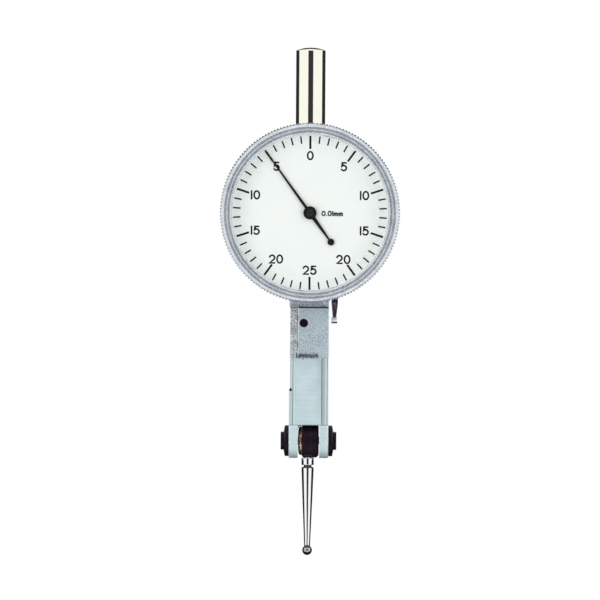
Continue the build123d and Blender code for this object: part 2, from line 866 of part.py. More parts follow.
# The satin arm with its ledge, pocket and fork
def arm_housing():
    body = arm_prism(-arm_half, arm_half)
    rims = body.faces().sort_by(Axis.X)[0].edges() + body.faces().sort_by(Axis.X)[-1].edges()
    body = chamfer(rims, arm_edge)
    depth = (-arm_top_depth, arm_top_depth)
    # seat of the side cover
    cover_left = -arm_half - overrun
    body -= block((cover_left, -hollow_left), depth, (ledge_z, seam_z + overrun))
    tongue_x = -arm_half + side_cover_tongue_inset
    tongue_z = ledge_z - side_cover_tongue_length
    body -= block((cover_left, tongue_x), depth, (tongue_z, ledge_z + side_cover_seam))
    # hollow for the measuring lever, and the throat that opens it into the fork
    hollow_z = slot_top_z + hollow_floor
    half_depth = hollow_depth / 2
    body -= block(
        (-hollow_left - face_gap, hollow_right), (-half_depth, half_depth), (hollow_z, seam_z + overrun)
    )
    throat = (-throat_depth / 2, throat_depth / 2)
    body -= block((neck_hollow_left, slot_half), throat, (slot_top_z - face_gap, hollow_z + face_gap))
    body -= fork_slot()
    body -= arm_pocket()
    bearing_hole = bearing_shank_diameter + 2 * seat_gap
    body -= rod_x(bearing_hole, -arm_half - overrun, arm_half + overrun, 0, pivot_z)
    # drilled relief at the end of the tongue's seat
    relief_back = -arm_front_y(tongue_z) + tongue_relief_depth
    relief_x = tongue_x - tongue_relief_diameter / 2
    body -= rod_y(tongue_relief_diameter, -arm_top_depth, relief_back, relief_x, tongue_z)
    screw_hole = arm_screw_diameter + 2 * seat_gap
    body -= rod_y(screw_hole, -arm_top_depth, -half_depth + face_gap, arm_screw_x, arm_screw_z)
    for y, z in side_screw_places():
        hole = side_screw_diameter + 2 * seat_gap
        end = -arm_half + side_cover_inset + side_screw_length + face_gap
        body -= rod_x(hole, -hollow_left - overrun, end, y, z)
    return body


def fork_slot():
    """The slot between the ears, with a shallow arc in its roof that clears the drum."""
    bottom_z = pivot_z - ear_radius - overrun
    slot = block((-slot_half, slot_half), (-arm_top_depth, arm_top_depth), (bottom_z, slot_top_z))
    roof_corners = slot.edges().filter_by(Axis.Y).group_by(Axis.Z)[-1]
    arc = rod_x(holder_diameter + 2 * drum_clearance, -slot_half, slot_half, 0, pivot_z)
    return fillet(roof_corners, fork_slot_corner) + arc


def arm_pocket():
    """Sunk panel in the arm's front: a slope at its top runs down to a flat floor."""
    top_z = ledge_z + pocket_ledge_rise
    slope_z = top_z - pocket_slope_length
    bottom_z = slot_top_z + pocket_wall
    outline = [
        (-arm_top_depth, top_z),
        (-arm_front_y(top_z), top_z),
        (-pocket_floor, slope_z),
        (-pocket_floor, bottom_z),
        (-arm_top_depth, bottom_z),
    ]
    cutter = side_plate(outline, -pocket_left, pocket_right)
    corners = cutter.edges().filter_by(Axis.Y).group_by(Axis.Z)[0]
    return fillet(corners, pocket_corner)


def arm_screw():
    front = -arm_top_depth / 2 + arm_screw_sink
    return rod_y(arm_screw_diameter, front, front + arm_screw_length, arm_screw_x, arm_screw_z)


def side_screw_places():
    top_z = seam_z - side_screw_top_inset
    bottom_z = ledge_z + side_screw_bottom_inset
    return [(side_screw_offset, top_z), (-side_screw_offset, bottom_z)]


# Plate let into the arm's left side, with a thin tongue reaching down
def side_cover():
    left = -arm_half + side_cover_inset
    right = -hollow_left - side_cover_seam
    prism = arm_prism(left, right)
    low_z = ledge_z + side_cover_seam
    depth = (-arm_top_depth, arm_top_depth)
    upper = prism & block((left, right), depth, (low_z, seam_z - side_cover_seam))
    tongue_right = -arm_half + side_cover_tongue_inset - side_cover_seam
    tongue_z = ledge_z - side_cover_tongue_length + side_cover_seam
    tongue = prism & block((left, tongue_right), depth, (tongue_z, low_z + side_cover_seam))
    body = upper + tongue
    for y, z in side_screw_places():
        hole = side_screw_diameter + 2 * seat_gap
        body -= rod_x(hole, left - overrun, -hollow_left, y, z)
    return body


def side_cover_screws():
    left = -arm_half + side_cover_inset
    right = left + side_screw_length
    return [rod_x(side_screw_diameter, left, right, y, z) for y, z in side_screw_places()]


# Lever plate from the fork up into the case, with its black hub disc
def measuring_lever():
    hub_radius = lever_hub_diameter / 2
    bore = lever_axle_diameter / 2 + seat_gap
    hub = turned_x(
        [
            (lever_hub_left, bore),
            (lever_hub_left, hub_radius),
            (lever_hub_right - lever_hub_edge, hub_radius),
            (lever_hub_right, hub_radius - lever_hub_edge),
            (lever_hub_right, bore),
        ],
        pivot_z,
    )
    top_z = dial_z - lever_top_drop
    plate = side_plate(
        [
            (-lever_root_width / 2, pivot_z + hub_radius / 2),
            (lever_root_width / 2, pivot_z + hub_radius / 2),
            (lever_top_width / 2, top_z),
            (-lever_top_width / 2, top_z),
        ],
        lever_plate_left,
        lever_plate_right,
    )
    body = hub + plate
    for z in rivet_places():
        body -= rod_x(rivet_diameter + 2 * seat_gap, lever_plate_left, lever_plate_right, 0, z)
    hole = spring_stud_diameter + 2 * seat_gap
    return body - rod_x(hole, lever_plate_left, lever_plate_right, 0, spring_stud_z)


# Small pin riveted into the lever, which the reversing spring's lower eye rides on
def spring_stud():
    right = lever_plate_right + spring_stud_proud
    return rod_x(spring_stud_diameter, lever_plate_left, right, 0, spring_stud_z)


def rivet_places():
    middle = dial_z - lever_top_drop - rivet_spacing
    return (middle - rivet_spacing / 2, middle + rivet_spacing / 2)


# Toothed sector: a short piece of a large gear about the fork's axle
def sector_gear():
    teeth = gear_points(
        sector_radius, sector_module, sector_full_count, range(sector_tooth_low, sector_tooth_high + 1)
    )
    rim_z = sector_radius - dedendum_share * sector_module - sector_rim_depth
    low_z = lever_reach - lever_top_drop - sector_plate_length / 2 + rivet_spacing
    half = sector_plate_width / 2
    outline = [(-half, low_z), (teeth[0][0], rim_z)] + teeth + [(teeth[-1][0], rim_z), (half, low_z)]
    plate = side_plate([(y, pivot_z + z) for y, z in outline], sector_left_x, sector_right_x)
    for z in rivet_places():
        plate -= rod_x(rivet_diameter + 2 * seat_gap, sector_left_x, sector_right_x, 0, z)
    return plate


def sector_rivets():
    left = sector_left_x - rivet_proud
    right = lever_plate_right + rivet_proud
    return [rod_x(rivet_diameter, left, right, 0, z) for z in rivet_places()]


def stop_pin_places():
    """One pin on each side of the lever: the first at rest, the other at its full swing."""
    rise = stop_pin_z - pivot_z
    rise_share = rise / (lever_reach - lever_top_drop)
    half_lever = (lever_root_width + (lever_top_width - lever_root_width) * rise_share) / 2
    swing = rise * radians(lever_travel_angle)
    clear = half_lever + stop_gap + stop_pin_diameter / 2
    return (clear, -clear - swing)


def stop_pins():
    left = neck_hollow_left - stop_pin_seat
    right = hollow_right + stop_pin_seat
    return [rod_x(stop_pin_diameter, left, right, y, stop_pin_z) for y in stop_pin_places()]


# Axle of the fork: cone points at both ends run in the bearing screws
def lever_axle():
    end = slot_half - axle_body_inset
    radius = lever_axle_diameter / 2
    tip = axle_tip_diameter / 2
    return turned_x(
        [
            (-end - axle_cone_length, 0),
            (-end - axle_cone_length, tip),
            (-end, radius),
            (end, radius),
            (end + axle_cone_length, tip),
            (end + axle_cone_length, 0),
        ],
        pivot_z,
    )


def mirrored_pair(piece):
    return [piece, mirror(piece, Plane.YZ)]


# Adjustable bearing screws with cone cups, one in each ear
def bearing_screws():
    tip_x = slot_half + bearing_shank_sink
    shank = bearing_shank_diameter / 2
    head = bearing_head_diameter / 2
    seat_x = arm_half + lock_nut_thickness
    head_x = seat_x + bearing_head_height
    cup = lever_axle_diameter / 2
    slope = (lever_axle_diameter - axle_tip_diameter) / 2 / axle_cone_length
    cup_end = cup - slope * bearing_cup_depth + slope * face_gap
    screw = turned_x(
        [
            (tip_x, cup - slope * face_gap),
            (tip_x, shank),
            (seat_x, shank),
            (seat_x, head),
            (head_x, head),
            (head_x, 0),
            (tip_x + bearing_cup_depth, 0),
            (tip_x + bearing_cup_depth, cup_end),
        ],
        pivot_z,
    )
    return mirrored_pair(screw)


def lock_nuts():
    outer = lock_nut_diameter / 2
    bore = bearing_shank_diameter / 2 + seat_gap
    nut_x = arm_half + lock_nut_thickness
    nut = turned_x(
        [
            (arm_half, bore),
            (arm_half, outer),
            (arm_half + lock_nut_rim, outer),
            (nut_x, bearing_head_diameter / 2),
            (nut_x, bore),
        ],
        pivot_z,
    )
    return mirrored_pair(nut)


# Black drum that carries the stylus and turns on the axle against friction
def stylus_holder():
    radius = holder_diameter / 2
    bore = lever_axle_diameter / 2 + run_gap
    drum = turned_x(
        [
            (-holder_left, bore),
            (-holder_left, radius - holder_edge),
            (-holder_left + holder_edge, radius),
            (holder_right, radius),
            (holder_right, bore),
        ],
        pivot_z,
    )
    stud_hole = stud_diameter + 2 * seat_gap
    return drum - rod_z(stud_hole, pivot_z - radius - overrun, pivot_z - stud_start + face_gap, stylus_x)


# Dished spring washer: its wide rim presses on the drum, its narrow end on the ear side
def friction_washer():
    inner = washer_bore / 2
    outer = washer_outer_diameter / 2
    rim_x = -holder_left - face_gap
    return turned_x(
        [
            (-washer_left, inner),
            (rim_x - washer_thickness, outer),
            (rim_x, outer),
            (rim_x, outer - washer_thickness),
            (-washer_left + washer_thickness, inner),
        ],
        pivot_z,
    )


def turned_stylus(outline):
    """Turns an outline of (radius, distance below the pivot) about the stylus's axis."""
    points = [(radius, -distance) for radius, distance in outline]
    face = make_face(Plane.XZ * Polyline(*points, close=True))
    return Pos(stylus_x, 0, pivot_z) * revolve(face, Axis.Z)


def stylus_collar():
    radius = collar_diameter / 2
    end = collar_start + collar_length
    return turned_stylus(
        [
            (stud_diameter / 2 + seat_gap, collar_start),
            (radius - collar_edge, collar_start),
            (radius, collar_start + collar_edge),
            (radius, end - collar_edge),
            (radius - collar_edge, end),
            (stud_diameter / 2 + seat_gap, end),
        ]
    )


# Chromed shank: threaded stud, neck, shouldered head and a slim taper to the ball
def stylus():
    collar_end = collar_start + collar_length
    head_start = collar_end + stylus_neck_length
    end_radius = taper_end_diameter / 2
    end = stylus_length - ball_diameter / 2
    return turned_stylus(
        [
            (0, stud_start),
            (stud_diameter / 2, stud_start),
            (stud_diameter / 2, collar_end),
            (stylus_neck_diameter / 2, collar_end),
            (stylus_neck_diameter / 2, head_start),
            (head_start_diameter / 2, head_start),
            (head_diameter / 2, head_start + head_rise),
            (taper_break_diameter / 2, taper_break),
            (end_radius, end),
            (0, end),
        ]
    )


# Hard ball with a short neck that is brazed to the shank
def contact_ball():
    ball_radius = ball_diameter / 2
    ball = Pos(stylus_x, 0, ball_z) * Sphere(ball_radius)
    return ball + rod_z(taper_end_diameter, ball_z, ball_z + ball_radius, stylus_x)


# Small lever beside the arm that chooses the measuring direction
def reversing_lever():
    hub = reverse_hub_diameter / 2
    tip_start = reverse_reach - reverse_tip_length
    front = make_face(
        Polyline(
            (reverse_inner, hub),
            (reverse_outer, hub),
            (reverse_outer, -hub),
            (reverse_bar_outer, -tip_start),
            (reverse_tip_outer, -tip_start - face_gap),
            (reverse_tip_outer, -reverse_reach),
            (reverse_tip_inner, -reverse_reach),
            (reverse_tip_inner, -tip_start - face_gap),
            (reverse_bar_inner, -tip_start),
            (reverse_inner, -hub),
            close=True,
        )
    )
    seen_from_front = extrude(Plane.XZ * front, reverse_hub_diameter, both=True)
    bar = make_face(
        Polyline(
            (-reverse_bar_width / 2, 0),
            (reverse_bar_width / 2, 0),
            (reverse_neck_width / 2, -tip_start),
            (-reverse_neck_width / 2, -tip_start),
            close=True,
        )
    )
    tip_middle = Pos(0, -reverse_reach + reverse_bar_width / 2)
    side = bar + Circle(hub) + tip_middle * Circle(reverse_bar_width / 2)
    seen_from_side = extrude(Plane.YZ.offset(reverse_inner) * side, reverse_outer - reverse_inner)
    body = seen_from_front & seen_from_side
    body -= rod_x(reverse_shaft_diameter + 2 * seat_gap, reverse_inner, reverse_shaft_end)
    return Pos(0, 0, reverse_z) * Rot(reverse_tilt, 0, 0) * body


def crank_pin_place():
    """The crank pin's (y, z) at rest: under the shaft, leaning as the lever does."""
    angle = radians(reverse_tilt)
    return (crank_pin_radius * sin(angle), reverse_z - crank_pin_radius * cos(angle))


def reversing_shaft():
    left = hollow_right + (crank_recess - crank_thickness) / 2
    shaft = rod_x(reverse_shaft_diameter, left, reverse_shaft_end, 0, reverse_z)
    shaft += rod_x(crank_diameter, left, left + crank_thickness, 0, reverse_z)
    y, z = crank_pin_place()
    return shaft + rod_x(crank_pin_diameter, left - crank_pin_length, left, y, z)


# Bowed strip between the crank pin and the lever's stud, with an eye at each end
def reversing_spring():
    crank = Vector(*crank_pin_place())
    stud = Vector(0, spring_stud_z)
    middle = (crank + stud) / 2 + Vector(spring_eye_diameter, 0)
    half = spring_strip_width / 2
    near = ThreePointArc(crank - Vector(half, 0), middle - Vector(half, 0), stud - Vector(half, 0))
    far = ThreePointArc(crank + Vector(half, 0), middle + Vector(half, 0), stud + Vector(half, 0))
    strip = make_face(near + far + Line(near @ 0, far @ 0) + Line(near @ 1, far @ 1))
    for eye, pin_diameter in ((crank, crank_pin_diameter), (stud, spring_stud_diameter)):
        strip += Pos(eye) * Circle(spring_eye_diameter / 2)
        strip -= Pos(eye) * Circle(pin_diameter / 2 + run_gap)
    left_x = lever_plate_right + spring_strip_gap
    return extrude(Plane.YZ.offset(left_x) * strip, spring_strip_thickness)


parts = {
    "stem": stem(),
    "case_body": case_body(),
    "back_cover": back_cover(),
    "back_cover_screws": back_cover_screws(),
    "bezel": bezel(),
    "bezel_spring_ring": bezel_spring_ring(),
    "crystal": crystal(),
    "spacer_ring": spacer_ring(),
    "dial": dial(),
    "movement_plate": movement_plate(),
    "movement_plate_screws": movement_plate_screws(),
    "pointer": pointer(),
    "pointer_hub": pointer_hub(),
    "centre_spindle": centre_spindle(),
    "spindle_jewels": spindle_jewels(),
    "axle_bracket": axle_bracket(),
    "axle_bracket_screws": axle_bracket_screws(),
    "axle_jewels": axle_jewels(),
    "crown_axle": crown_axle(),
    "crown_wheel": crown_wheel(),
    "hairspring": hairspring(),
    "hairspring_collet": hairspring_collet(),
    "hairspring_stud": hairspring_stud(),
    "arm_housing": arm_housing(),
    "arm_screw": arm_screw(),
    "side_cover": side_cover(),
    "side_cover_screws": side_cover_screws(),
    "measuring_lever": measuring_lever(),
    "sector_gear": sector_gear(),
    "sector_rivets": sector_rivets(),
    "spring_stud": spring_stud(),
    "stop_pins": stop_pins(),
    "lever_axle": lever_axle(),
    "bearing_screws": bearing_screws(),
    "lock_nuts": lock_nuts(),
    "stylus_holder": stylus_holder(),
    "friction_washer": friction_washer(),
    "stylus_collar": stylus_collar(),
    "stylus": stylus(),
    "contact_ball": contact_ball(),
    "reversing_lever": reversing_lever(),
    "reversing_shaft": reversing_shaft(),
    "reversing_spring": reversing_spring(),
}

os.makedirs("parts", exist_ok=True)
for name, shape in parts.items():
    solids = shape if isinstance(shape, list) else shape.solids()
    whole = Compound(children=list(solids)) if len(solids) > 1 else solids[0]
    export_step(whole, f"parts/{name}.step")
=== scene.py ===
import json
from math import asin, cos, degrees, pi, radians, sin, sqrt

import bmesh
import bpy
from mathutils import Matrix, Vector

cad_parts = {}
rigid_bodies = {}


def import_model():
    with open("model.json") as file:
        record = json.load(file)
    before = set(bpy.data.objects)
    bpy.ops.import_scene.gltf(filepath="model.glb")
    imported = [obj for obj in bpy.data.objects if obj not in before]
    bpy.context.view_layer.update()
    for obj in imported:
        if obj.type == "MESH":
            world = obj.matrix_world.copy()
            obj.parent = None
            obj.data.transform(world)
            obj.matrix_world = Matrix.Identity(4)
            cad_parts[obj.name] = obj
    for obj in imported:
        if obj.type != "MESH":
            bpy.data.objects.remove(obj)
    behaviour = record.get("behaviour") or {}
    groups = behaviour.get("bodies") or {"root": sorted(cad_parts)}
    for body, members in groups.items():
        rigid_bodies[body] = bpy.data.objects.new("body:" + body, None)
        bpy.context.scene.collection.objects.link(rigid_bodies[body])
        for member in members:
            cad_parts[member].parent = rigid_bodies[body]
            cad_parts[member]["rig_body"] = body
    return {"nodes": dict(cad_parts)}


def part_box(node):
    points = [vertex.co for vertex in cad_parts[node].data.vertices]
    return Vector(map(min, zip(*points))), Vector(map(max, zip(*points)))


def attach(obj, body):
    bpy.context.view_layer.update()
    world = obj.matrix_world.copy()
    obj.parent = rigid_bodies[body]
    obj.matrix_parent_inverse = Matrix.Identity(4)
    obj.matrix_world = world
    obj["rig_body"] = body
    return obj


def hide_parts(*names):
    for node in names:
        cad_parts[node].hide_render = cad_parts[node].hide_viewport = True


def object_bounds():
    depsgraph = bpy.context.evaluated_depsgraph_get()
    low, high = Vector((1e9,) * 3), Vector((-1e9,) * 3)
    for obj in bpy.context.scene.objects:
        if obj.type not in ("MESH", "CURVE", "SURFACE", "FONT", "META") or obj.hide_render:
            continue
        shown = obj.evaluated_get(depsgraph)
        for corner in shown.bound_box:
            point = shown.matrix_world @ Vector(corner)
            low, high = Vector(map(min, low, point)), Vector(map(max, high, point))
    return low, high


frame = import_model()
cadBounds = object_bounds()
cad = frame["nodes"]
mm = 0.001
print("frame loaded,", len(cad), "nodes")


# The shader maths: Wire is one output of a node, and arithmetic on it adds Math nodes

class Wire:
    def __init__(self, tree, socket):
        self.tree = tree
        self.socket = socket

    def join(self, operation, first, second):
        return self.tree.node("ShaderNodeMath", {"operation": operation}, {0: first, 1: second})

    def __add__(self, other):
        return self.join("ADD", self, other)

    def __sub__(self, other):
        return self.join("SUBTRACT", self, other)

    def __rsub__(self, other):
        return self.join("SUBTRACT", other, self)

    def __mul__(self, other):
        return self.join("MULTIPLY", self, other)

    def __pow__(self, other):
        return self.join("POWER", self, other)

    def __gt__(self, other):
        return self.join("GREATER_THAN", self, other)

    def __lt__(self, other):
        return self.join("LESS_THAN", self, other)

    __radd__ = __add__
    __rmul__ = __mul__


class Tree:
    def __init__(self, owner):
        owner.use_nodes = True
        self.owner = owner
        self.nodes = owner.node_tree.nodes
        self.links = owner.node_tree.links

    def node(self, kind, settings=None, inputs=None, output=0):
        made = self.nodes.new(kind)
        for key, value in (settings or {}).items():
            setattr(made, key, value)
        for key, value in (inputs or {}).items():
            self.feed(made.inputs[key], value)
        return Wire(self, made.outputs[output])

    def feed(self, socket, value):
        if isinstance(value, Wire):
            self.links.new(value.socket, socket)
        else:
            socket.default_value = value

    def mix(self, factor, first, second):  # two colours
        ends = [end if isinstance(end, Wire) else rgba(*end) for end in (first, second)]
        return self.node("ShaderNodeMix", {"data_type": "RGBA"}, {0: factor, 6: ends[0], 7: ends[1]}, 2)

    def place(self, scale=(1, 1, 1)):  # position in metres, stretched by scale
        where = self.node("ShaderNodeTexCoord", output="Object")
        return self.node("ShaderNodeVectorMath", {"operation": "MULTIPLY"}, {0: where, 1: scale})

    def noise(self, size, detail=2.0, rough=0.5, stretch=(1, 1, 1)):  # grains of size mm
        values = {"Scale": 1 / (size * mm), "Detail": detail, "Roughness": rough}
        return self.node("ShaderNodeTexNoise", {}, {"Vector": self.place(stretch), **values})

    def smooth(self, value, low, high):  # 0 at low, 1 at high
        settings = {"interpolation_type": "SMOOTHSTEP"}
        return self.node("ShaderNodeMapRange", settings, {0: value, 1: low, 2: high})

    def band(self, value, low, high, soft):  # 1 between low and high
        return self.smooth(value, low - soft, low + soft) * self.smooth(value, high + soft, high - soft)

    def clamp(self, value):
        return self.node("ShaderNodeClamp", {}, {0: value})

    def bump(self, height, depth, normal=None):  # depth in mm
        values = {"Height": height, "Distance": depth * mm, "Strength": 1.0}
        if normal:
            values["Normal"] = normal
        return self.node("ShaderNodeBump", {}, values)

    def surface(self, colour, roughness, normal):  # feeds the skin, and gives the material
        for name, value in (("Base Color", colour), ("Roughness", roughness), ("Normal", normal)):
            self.feed(self.skin[name], value)
        return self.owner

    def axes(self):  # x, y and z of the position, in mm
        split = self.nodes.new("ShaderNodeSeparateXYZ")
        self.feed(split.inputs[0], self.place([1 / mm] * 3))
        return [Wire(self, out) for out in split.outputs]

    def reach(self):  # distance from the head's axis, in mm
        x, z = self.axes()[::2]
        return (x**2 + (z - dialCentre.z / mm) ** 2) ** 0.5


def newFinish(name, metallic=0.0, ior=1.5, coat=0.0):
    tree = Tree(bpy.data.materials.new(name))
    tree.skin = tree.nodes["Principled BSDF"].inputs
    for socket, value in (("Metallic", metallic), ("IOR", ior), ("Coat Weight", coat)):
        tree.skin[socket].default_value = value
    return tree


def lengths(sizes, *names):
    return [sizes[name] * mm for name in names]


def rgba(red, green, blue):
    return (red, green, blue, 1.0)


def middle(node):
    low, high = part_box(node)
    return (low + high) / 2


def span(node):
    low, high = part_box(node)
    return high - low


# Places that the pieces share, from the frame
dialCentre = middle("dial")
pivot = middle("lever_axle")
headAxis = Vector((0, 0, dialCentre.z))
forkAxis = Vector((0, 0, pivot.z))
# Heights for the finishes, in mm
ledgeRise = 6.39
pivotZ = pivot.z / mm
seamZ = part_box("arm_housing")[1].z / mm
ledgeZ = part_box("side_cover")[0].z / mm + ledgeRise
print("places read")


# Satin chrome: a fine blasted grain under a thin bright plating, and a darker colour in one part: painted
# shade on the case's neck, the knurled band on the bezel

def satinFinish(name, look, darkerPart):
    tree = newFinish(name, metallic=1.0)
    grain = tree.noise(look["grain"], 3.0, 0.6)
    cloud = tree.noise(look["cloud"], 4.0, 0.55)
    tone = tree.smooth(cloud * 0.25 + grain * 0.75, 0.38, 0.62)
    plain = tree.mix(tone, look["dark"], look["light"])
    # the darker colour: painted shade on the neck, a darker tone on the knurl
    darkerColour = tree.mix(tree.smooth(grain, 0.42, 0.58), look["stainDark"], look["stainLight"])
    darker = darkerPart(tree, look)
    colour = tree.mix(darker, plain, darkerColour)
    rough = grain * look["spread"] + look["roughness"] + darker * look["softer"]
    return tree.surface(colour, rough, tree.bump(grain, look["depth"]))


def onNeck(tree, look):
    # painted shade on the case's neck, where the bezel's shadow falls
    z = tree.axes()[2]
    return tree.smooth(z, look["neckTop"], look["neckFull"])


def inKnurl(tree, look):
    # the bezel's knurled band
    return tree.smooth(tree.reach(), *look["knurlRoot"])


headLook = dict(
    dark=(0.60, 0.64, 0.70), light=(0.79, 0.83, 0.87), stainDark=(0.50, 0.55, 0.64),
    stainLight=(0.94, 0.97, 1.0), neckTop=-42.3, neckFull=-42.7, roughness=0.26, softer=0.48, spread=0.14,
    grain=0.17, cloud=2.6, depth=0.004,
)
bezelLook = dict(
    dark=(0.48, 0.54, 0.61), light=(0.89, 0.94, 0.98), stainDark=(0.30, 0.32, 0.355),
    stainLight=(0.53, 0.56, 0.60), knurlRoot=(18.03, 18.11), roughness=0.33, softer=0.0, spread=0.16,
    grain=0.17, cloud=2.6, depth=0.004,
)
upperArmLook = dict(
    dark=(0.47, 0.56, 0.62), light=(0.77, 0.88, 0.94), sideDark=(0.39, 0.41, 0.40),
    sideLight=(0.81, 0.88, 0.90), roughness=0.60, grain=0.22, speck=0.33, cloud=3.0, depth=0.010,
    spread=0.1, dirtAndShadeRough=0.3,
)
lowerArmLook = dict(
    dark=(0.725, 0.85, 0.875), light=(0.80, 0.92, 0.95), strip=(0.58, 0.68, 0.715),
    border=(0.88, 0.98, 1.0), roughness=0.45, softer=0.28, grain=0.45, cloud=3.0, brush=(0.1, 0.1, 1.0),
    lineDepth=0.004,
)
satinHead = satinFinish("satinHead", headLook, onNeck)
satinBezel = satinFinish("satinBezel", bezelLook, inKnurl)


# The arm has two finishes, blasted above its ledge and drawn smooth below it. Its left cover is greener and
# its joints are dark.
# Painted shade lies under the ledge, along the ears' shoulder, in the tongue's relief hole and the slot's
# corner, along the edges of the pocket and on the strips beside it; painted highlights run along the pocket's
# and ears' borders and by the cover's seam.

def armFinish(name, upper, lower, marks):
    tree = newFinish(name, metallic=1.0)
    x, y, z = tree.axes()
    soft, blur, fine = marks["soft"], marks["blur"], marks["fine"]
    ledge, shoulder, seam = marks["ledge"], marks["shoulder"], marks["seam"]
    below = tree.smooth(z, ledge + soft, ledge - soft)
    above = 1 - below
    front = y < marks["front"]
    ears = z < shoulder
    pane = (z > shoulder) * front
    # a ramp from the ledge up to the neck, weighting the painted highlight and the seam's darkness
    rubbedAndLight = tree.smooth(z, ledge, marks["neckGap"])

    def stripe(value, at, half, edge):
        return tree.band(value, at - half, at + half, edge)

    # the two metals, with painted shade on the strips and painted highlights on the borders
    grain = tree.noise(upper["grain"], 2.0, 0.7)
    speck = tree.noise(upper["speck"], 3.0, 0.6)
    cloud = tree.noise(upper["cloud"], 3.0, 0.5)
    line = tree.noise(lower["grain"], 2.0, 0.5, stretch=lower["brush"])
    tone = tree.smooth(cloud * 0.15 + grain * 0.85, 0.38, 0.62)
    greener = tree.mix(tree.smooth(speck, 0.40, 0.60), upper["sideDark"], upper["sideLight"])
    blasted = tree.mix((x < seam) * above, tree.mix(tone, upper["dark"], upper["light"]), greener)
    tone = tree.smooth(cloud * 0.5 + line * 0.5, 0.35, 0.65)
    drawn = tree.mix(tone, lower["dark"], lower["light"])
    # painted shade on the strips beside the pocket, as on a sloped face
    strip = tree.band(x, marks["pocketRight"], marks["stripEnd"], fine) * pane
    strip = strip + (x < marks["leftStrip"]) * pane * marks["leftStripShare"]
    drawn = tree.mix(strip, drawn, lower["strip"])
    # painted highlights along the pocket's and the ears' borders
    for area, borders in ((pane, marks["borders"]), (ears, marks["earBorders"])):
        for border in borders:
            wornAndLit = stripe(x, border, marks["borderHalf"], marks["borderSoft"]) * area
            drawn = tree.mix(wornAndLit, drawn, lower["border"])
    # painted highlight on the chamfer beside the cover's seam
    seamGlint = tree.band(x, *marks["seamGlint"], marks["borderSoft"]) * above * front * rubbedAndLight * marks["glintShare"]
    plain = tree.mix(seamGlint, tree.mix(below, blasted, drawn), marks["glintColour"])

    # dark joints, and painted shade under the ledge, along the shoulder, along the pocket's edges and in two
    # holes
    ragged = z + (speck - 0.5) * marks["ragged"]
    # painted shadow under the ledge
    dirtAndShade = tree.band(ragged, ledge, ledge + marks["rise"], 2 * soft)
    dirtAndShade = dirtAndShade * tree.band(x, marks["ledgeLeft"], marks["ledgeRight"], 2 * soft) * marks["ledgeShare"]
    # painted shade along the ears' shoulder, where the arm steps in
    dirtAndShade = dirtAndShade + stripe(z, shoulder, marks["shoulderHalf"], blur) * marks["shoulderShare"]
    dirtAndShade = dirtAndShade + tree.band(z, marks["neckGap"], marks["neckEnd"], fine)
    seamLine = tree.band(x, marks["seamStart"], seam, blur) * above * front
    dirtAndShade = dirtAndShade + seamLine * (rubbedAndLight * marks["seamRub"] + marks["seamBase"])
    # painted shade along the pocket's walls and the strips' chamfers
    for edge in marks["edges"]:
        dirtAndShade = dirtAndShade + stripe(x, edge, marks["edgeHalf"], blur) * below * pane * marks["edgeShare"]
    # painted shade in the tongue's relief hole and in the corner of the fork's slot
    for spotX, spotZ, size in marks["holes"]:
        near = (x - spotX) ** 2 + (z - spotZ) ** 2
        dirtAndShade = dirtAndShade + (near < size**2) * marks["holeShare"]
    dirtAndShade = tree.clamp(dirtAndShade)

    # gloss and grain
    sunk = tree.band(x, marks["pocketLeft"], marks["pocketRight"], fine) * below * front
    softer = tree.clamp(sunk * marks["sunkShare"] + below * pane * marks["paneShare"] + ears)
    fall = (lower["roughness"] - upper["roughness"]) * below + upper["roughness"]
    rough = fall + (grain - 0.5) * upper["spread"] + dirtAndShade * upper["dirtAndShadeRough"] + softer * lower["softer"]
    normal = tree.bump(line * below, lower["lineDepth"], tree.bump(grain * above, upper["depth"]))
    return tree.surface(tree.mix(dirtAndShade, plain, marks["dirtAndShade"]), rough, normal)


# Polished chrome: nearly a mirror, with a trace of polishing haze, and painted shade in bands at necks and
# joints

# colour, edge and strength of the painted shade bands
creaseShade = dict(colour=(0.03, 0.028, 0.034), soft=0.06, share=0.9)


def mirrorFinish(name, look):
    tree = newFinish(name, metallic=1.0)
    haze = tree.noise(look["haze"], 3.0, 0.6)
    hair = tree.noise(look["hair"], 2.0, 0.5, stretch=look["along"])
    plain = tree.mix(haze, look["shade"], look["tint"])
    z = tree.axes()[2]
    shadeBands = 0
    # painted shade: the stem's foot, the stylus's neck and the joint of shank and ball
    for low, high in look["shadeBands"]:
        shadeBands = tree.band(z, low, high, creaseShade["soft"]) * creaseShade["share"] + shadeBands
    colour = tree.mix(shadeBands, plain, creaseShade["colour"])
    rough = haze * 0.03 + hair * 0.03 + look["roughness"]
    return tree.surface(colour, rough, tree.bump(hair, look["depth"]))


stemLook = dict(
    tint=(0.965, 0.97, 0.845), shade=(0.93, 0.935, 0.80), haze=4.0, hair=0.3, along=(1.0, 1.0, 0.1),
    roughness=0.01, depth=0.0001, shadeBands=[(-9.2, -7.9)],
)
stylusLook = dict(
    tint=(0.96, 0.97, 0.97), shade=(0.88, 0.90, 0.91), haze=3.0, hair=0.2, along=(0.1, 0.1, 1.0),
    roughness=0.01, depth=0.0001, shadeBands=[(-76.9, -76.2), (-93.2, -92.65)],
)
ballLook = dict(
    tint=(0.54, 0.54, 0.55), shade=(0.38, 0.38, 0.39), haze=0.8, hair=0.2, along=(1.0, 1.0, 1.0),
    roughness=0.02, depth=0.0001, shadeBands=[(-93.2, -92.6)],
)
mirrorStem = mirrorFinish("mirrorStem", stemLook)
mirrorStylus = mirrorFinish("mirrorStylus", stylusLook)
mirrorBall = mirrorFinish("mirrorBall", ballLook)


# Reversing lever: a chrome bar painted near black as a painted dark reflection, a bright polished tip, and
# painted shade along the tip's foot

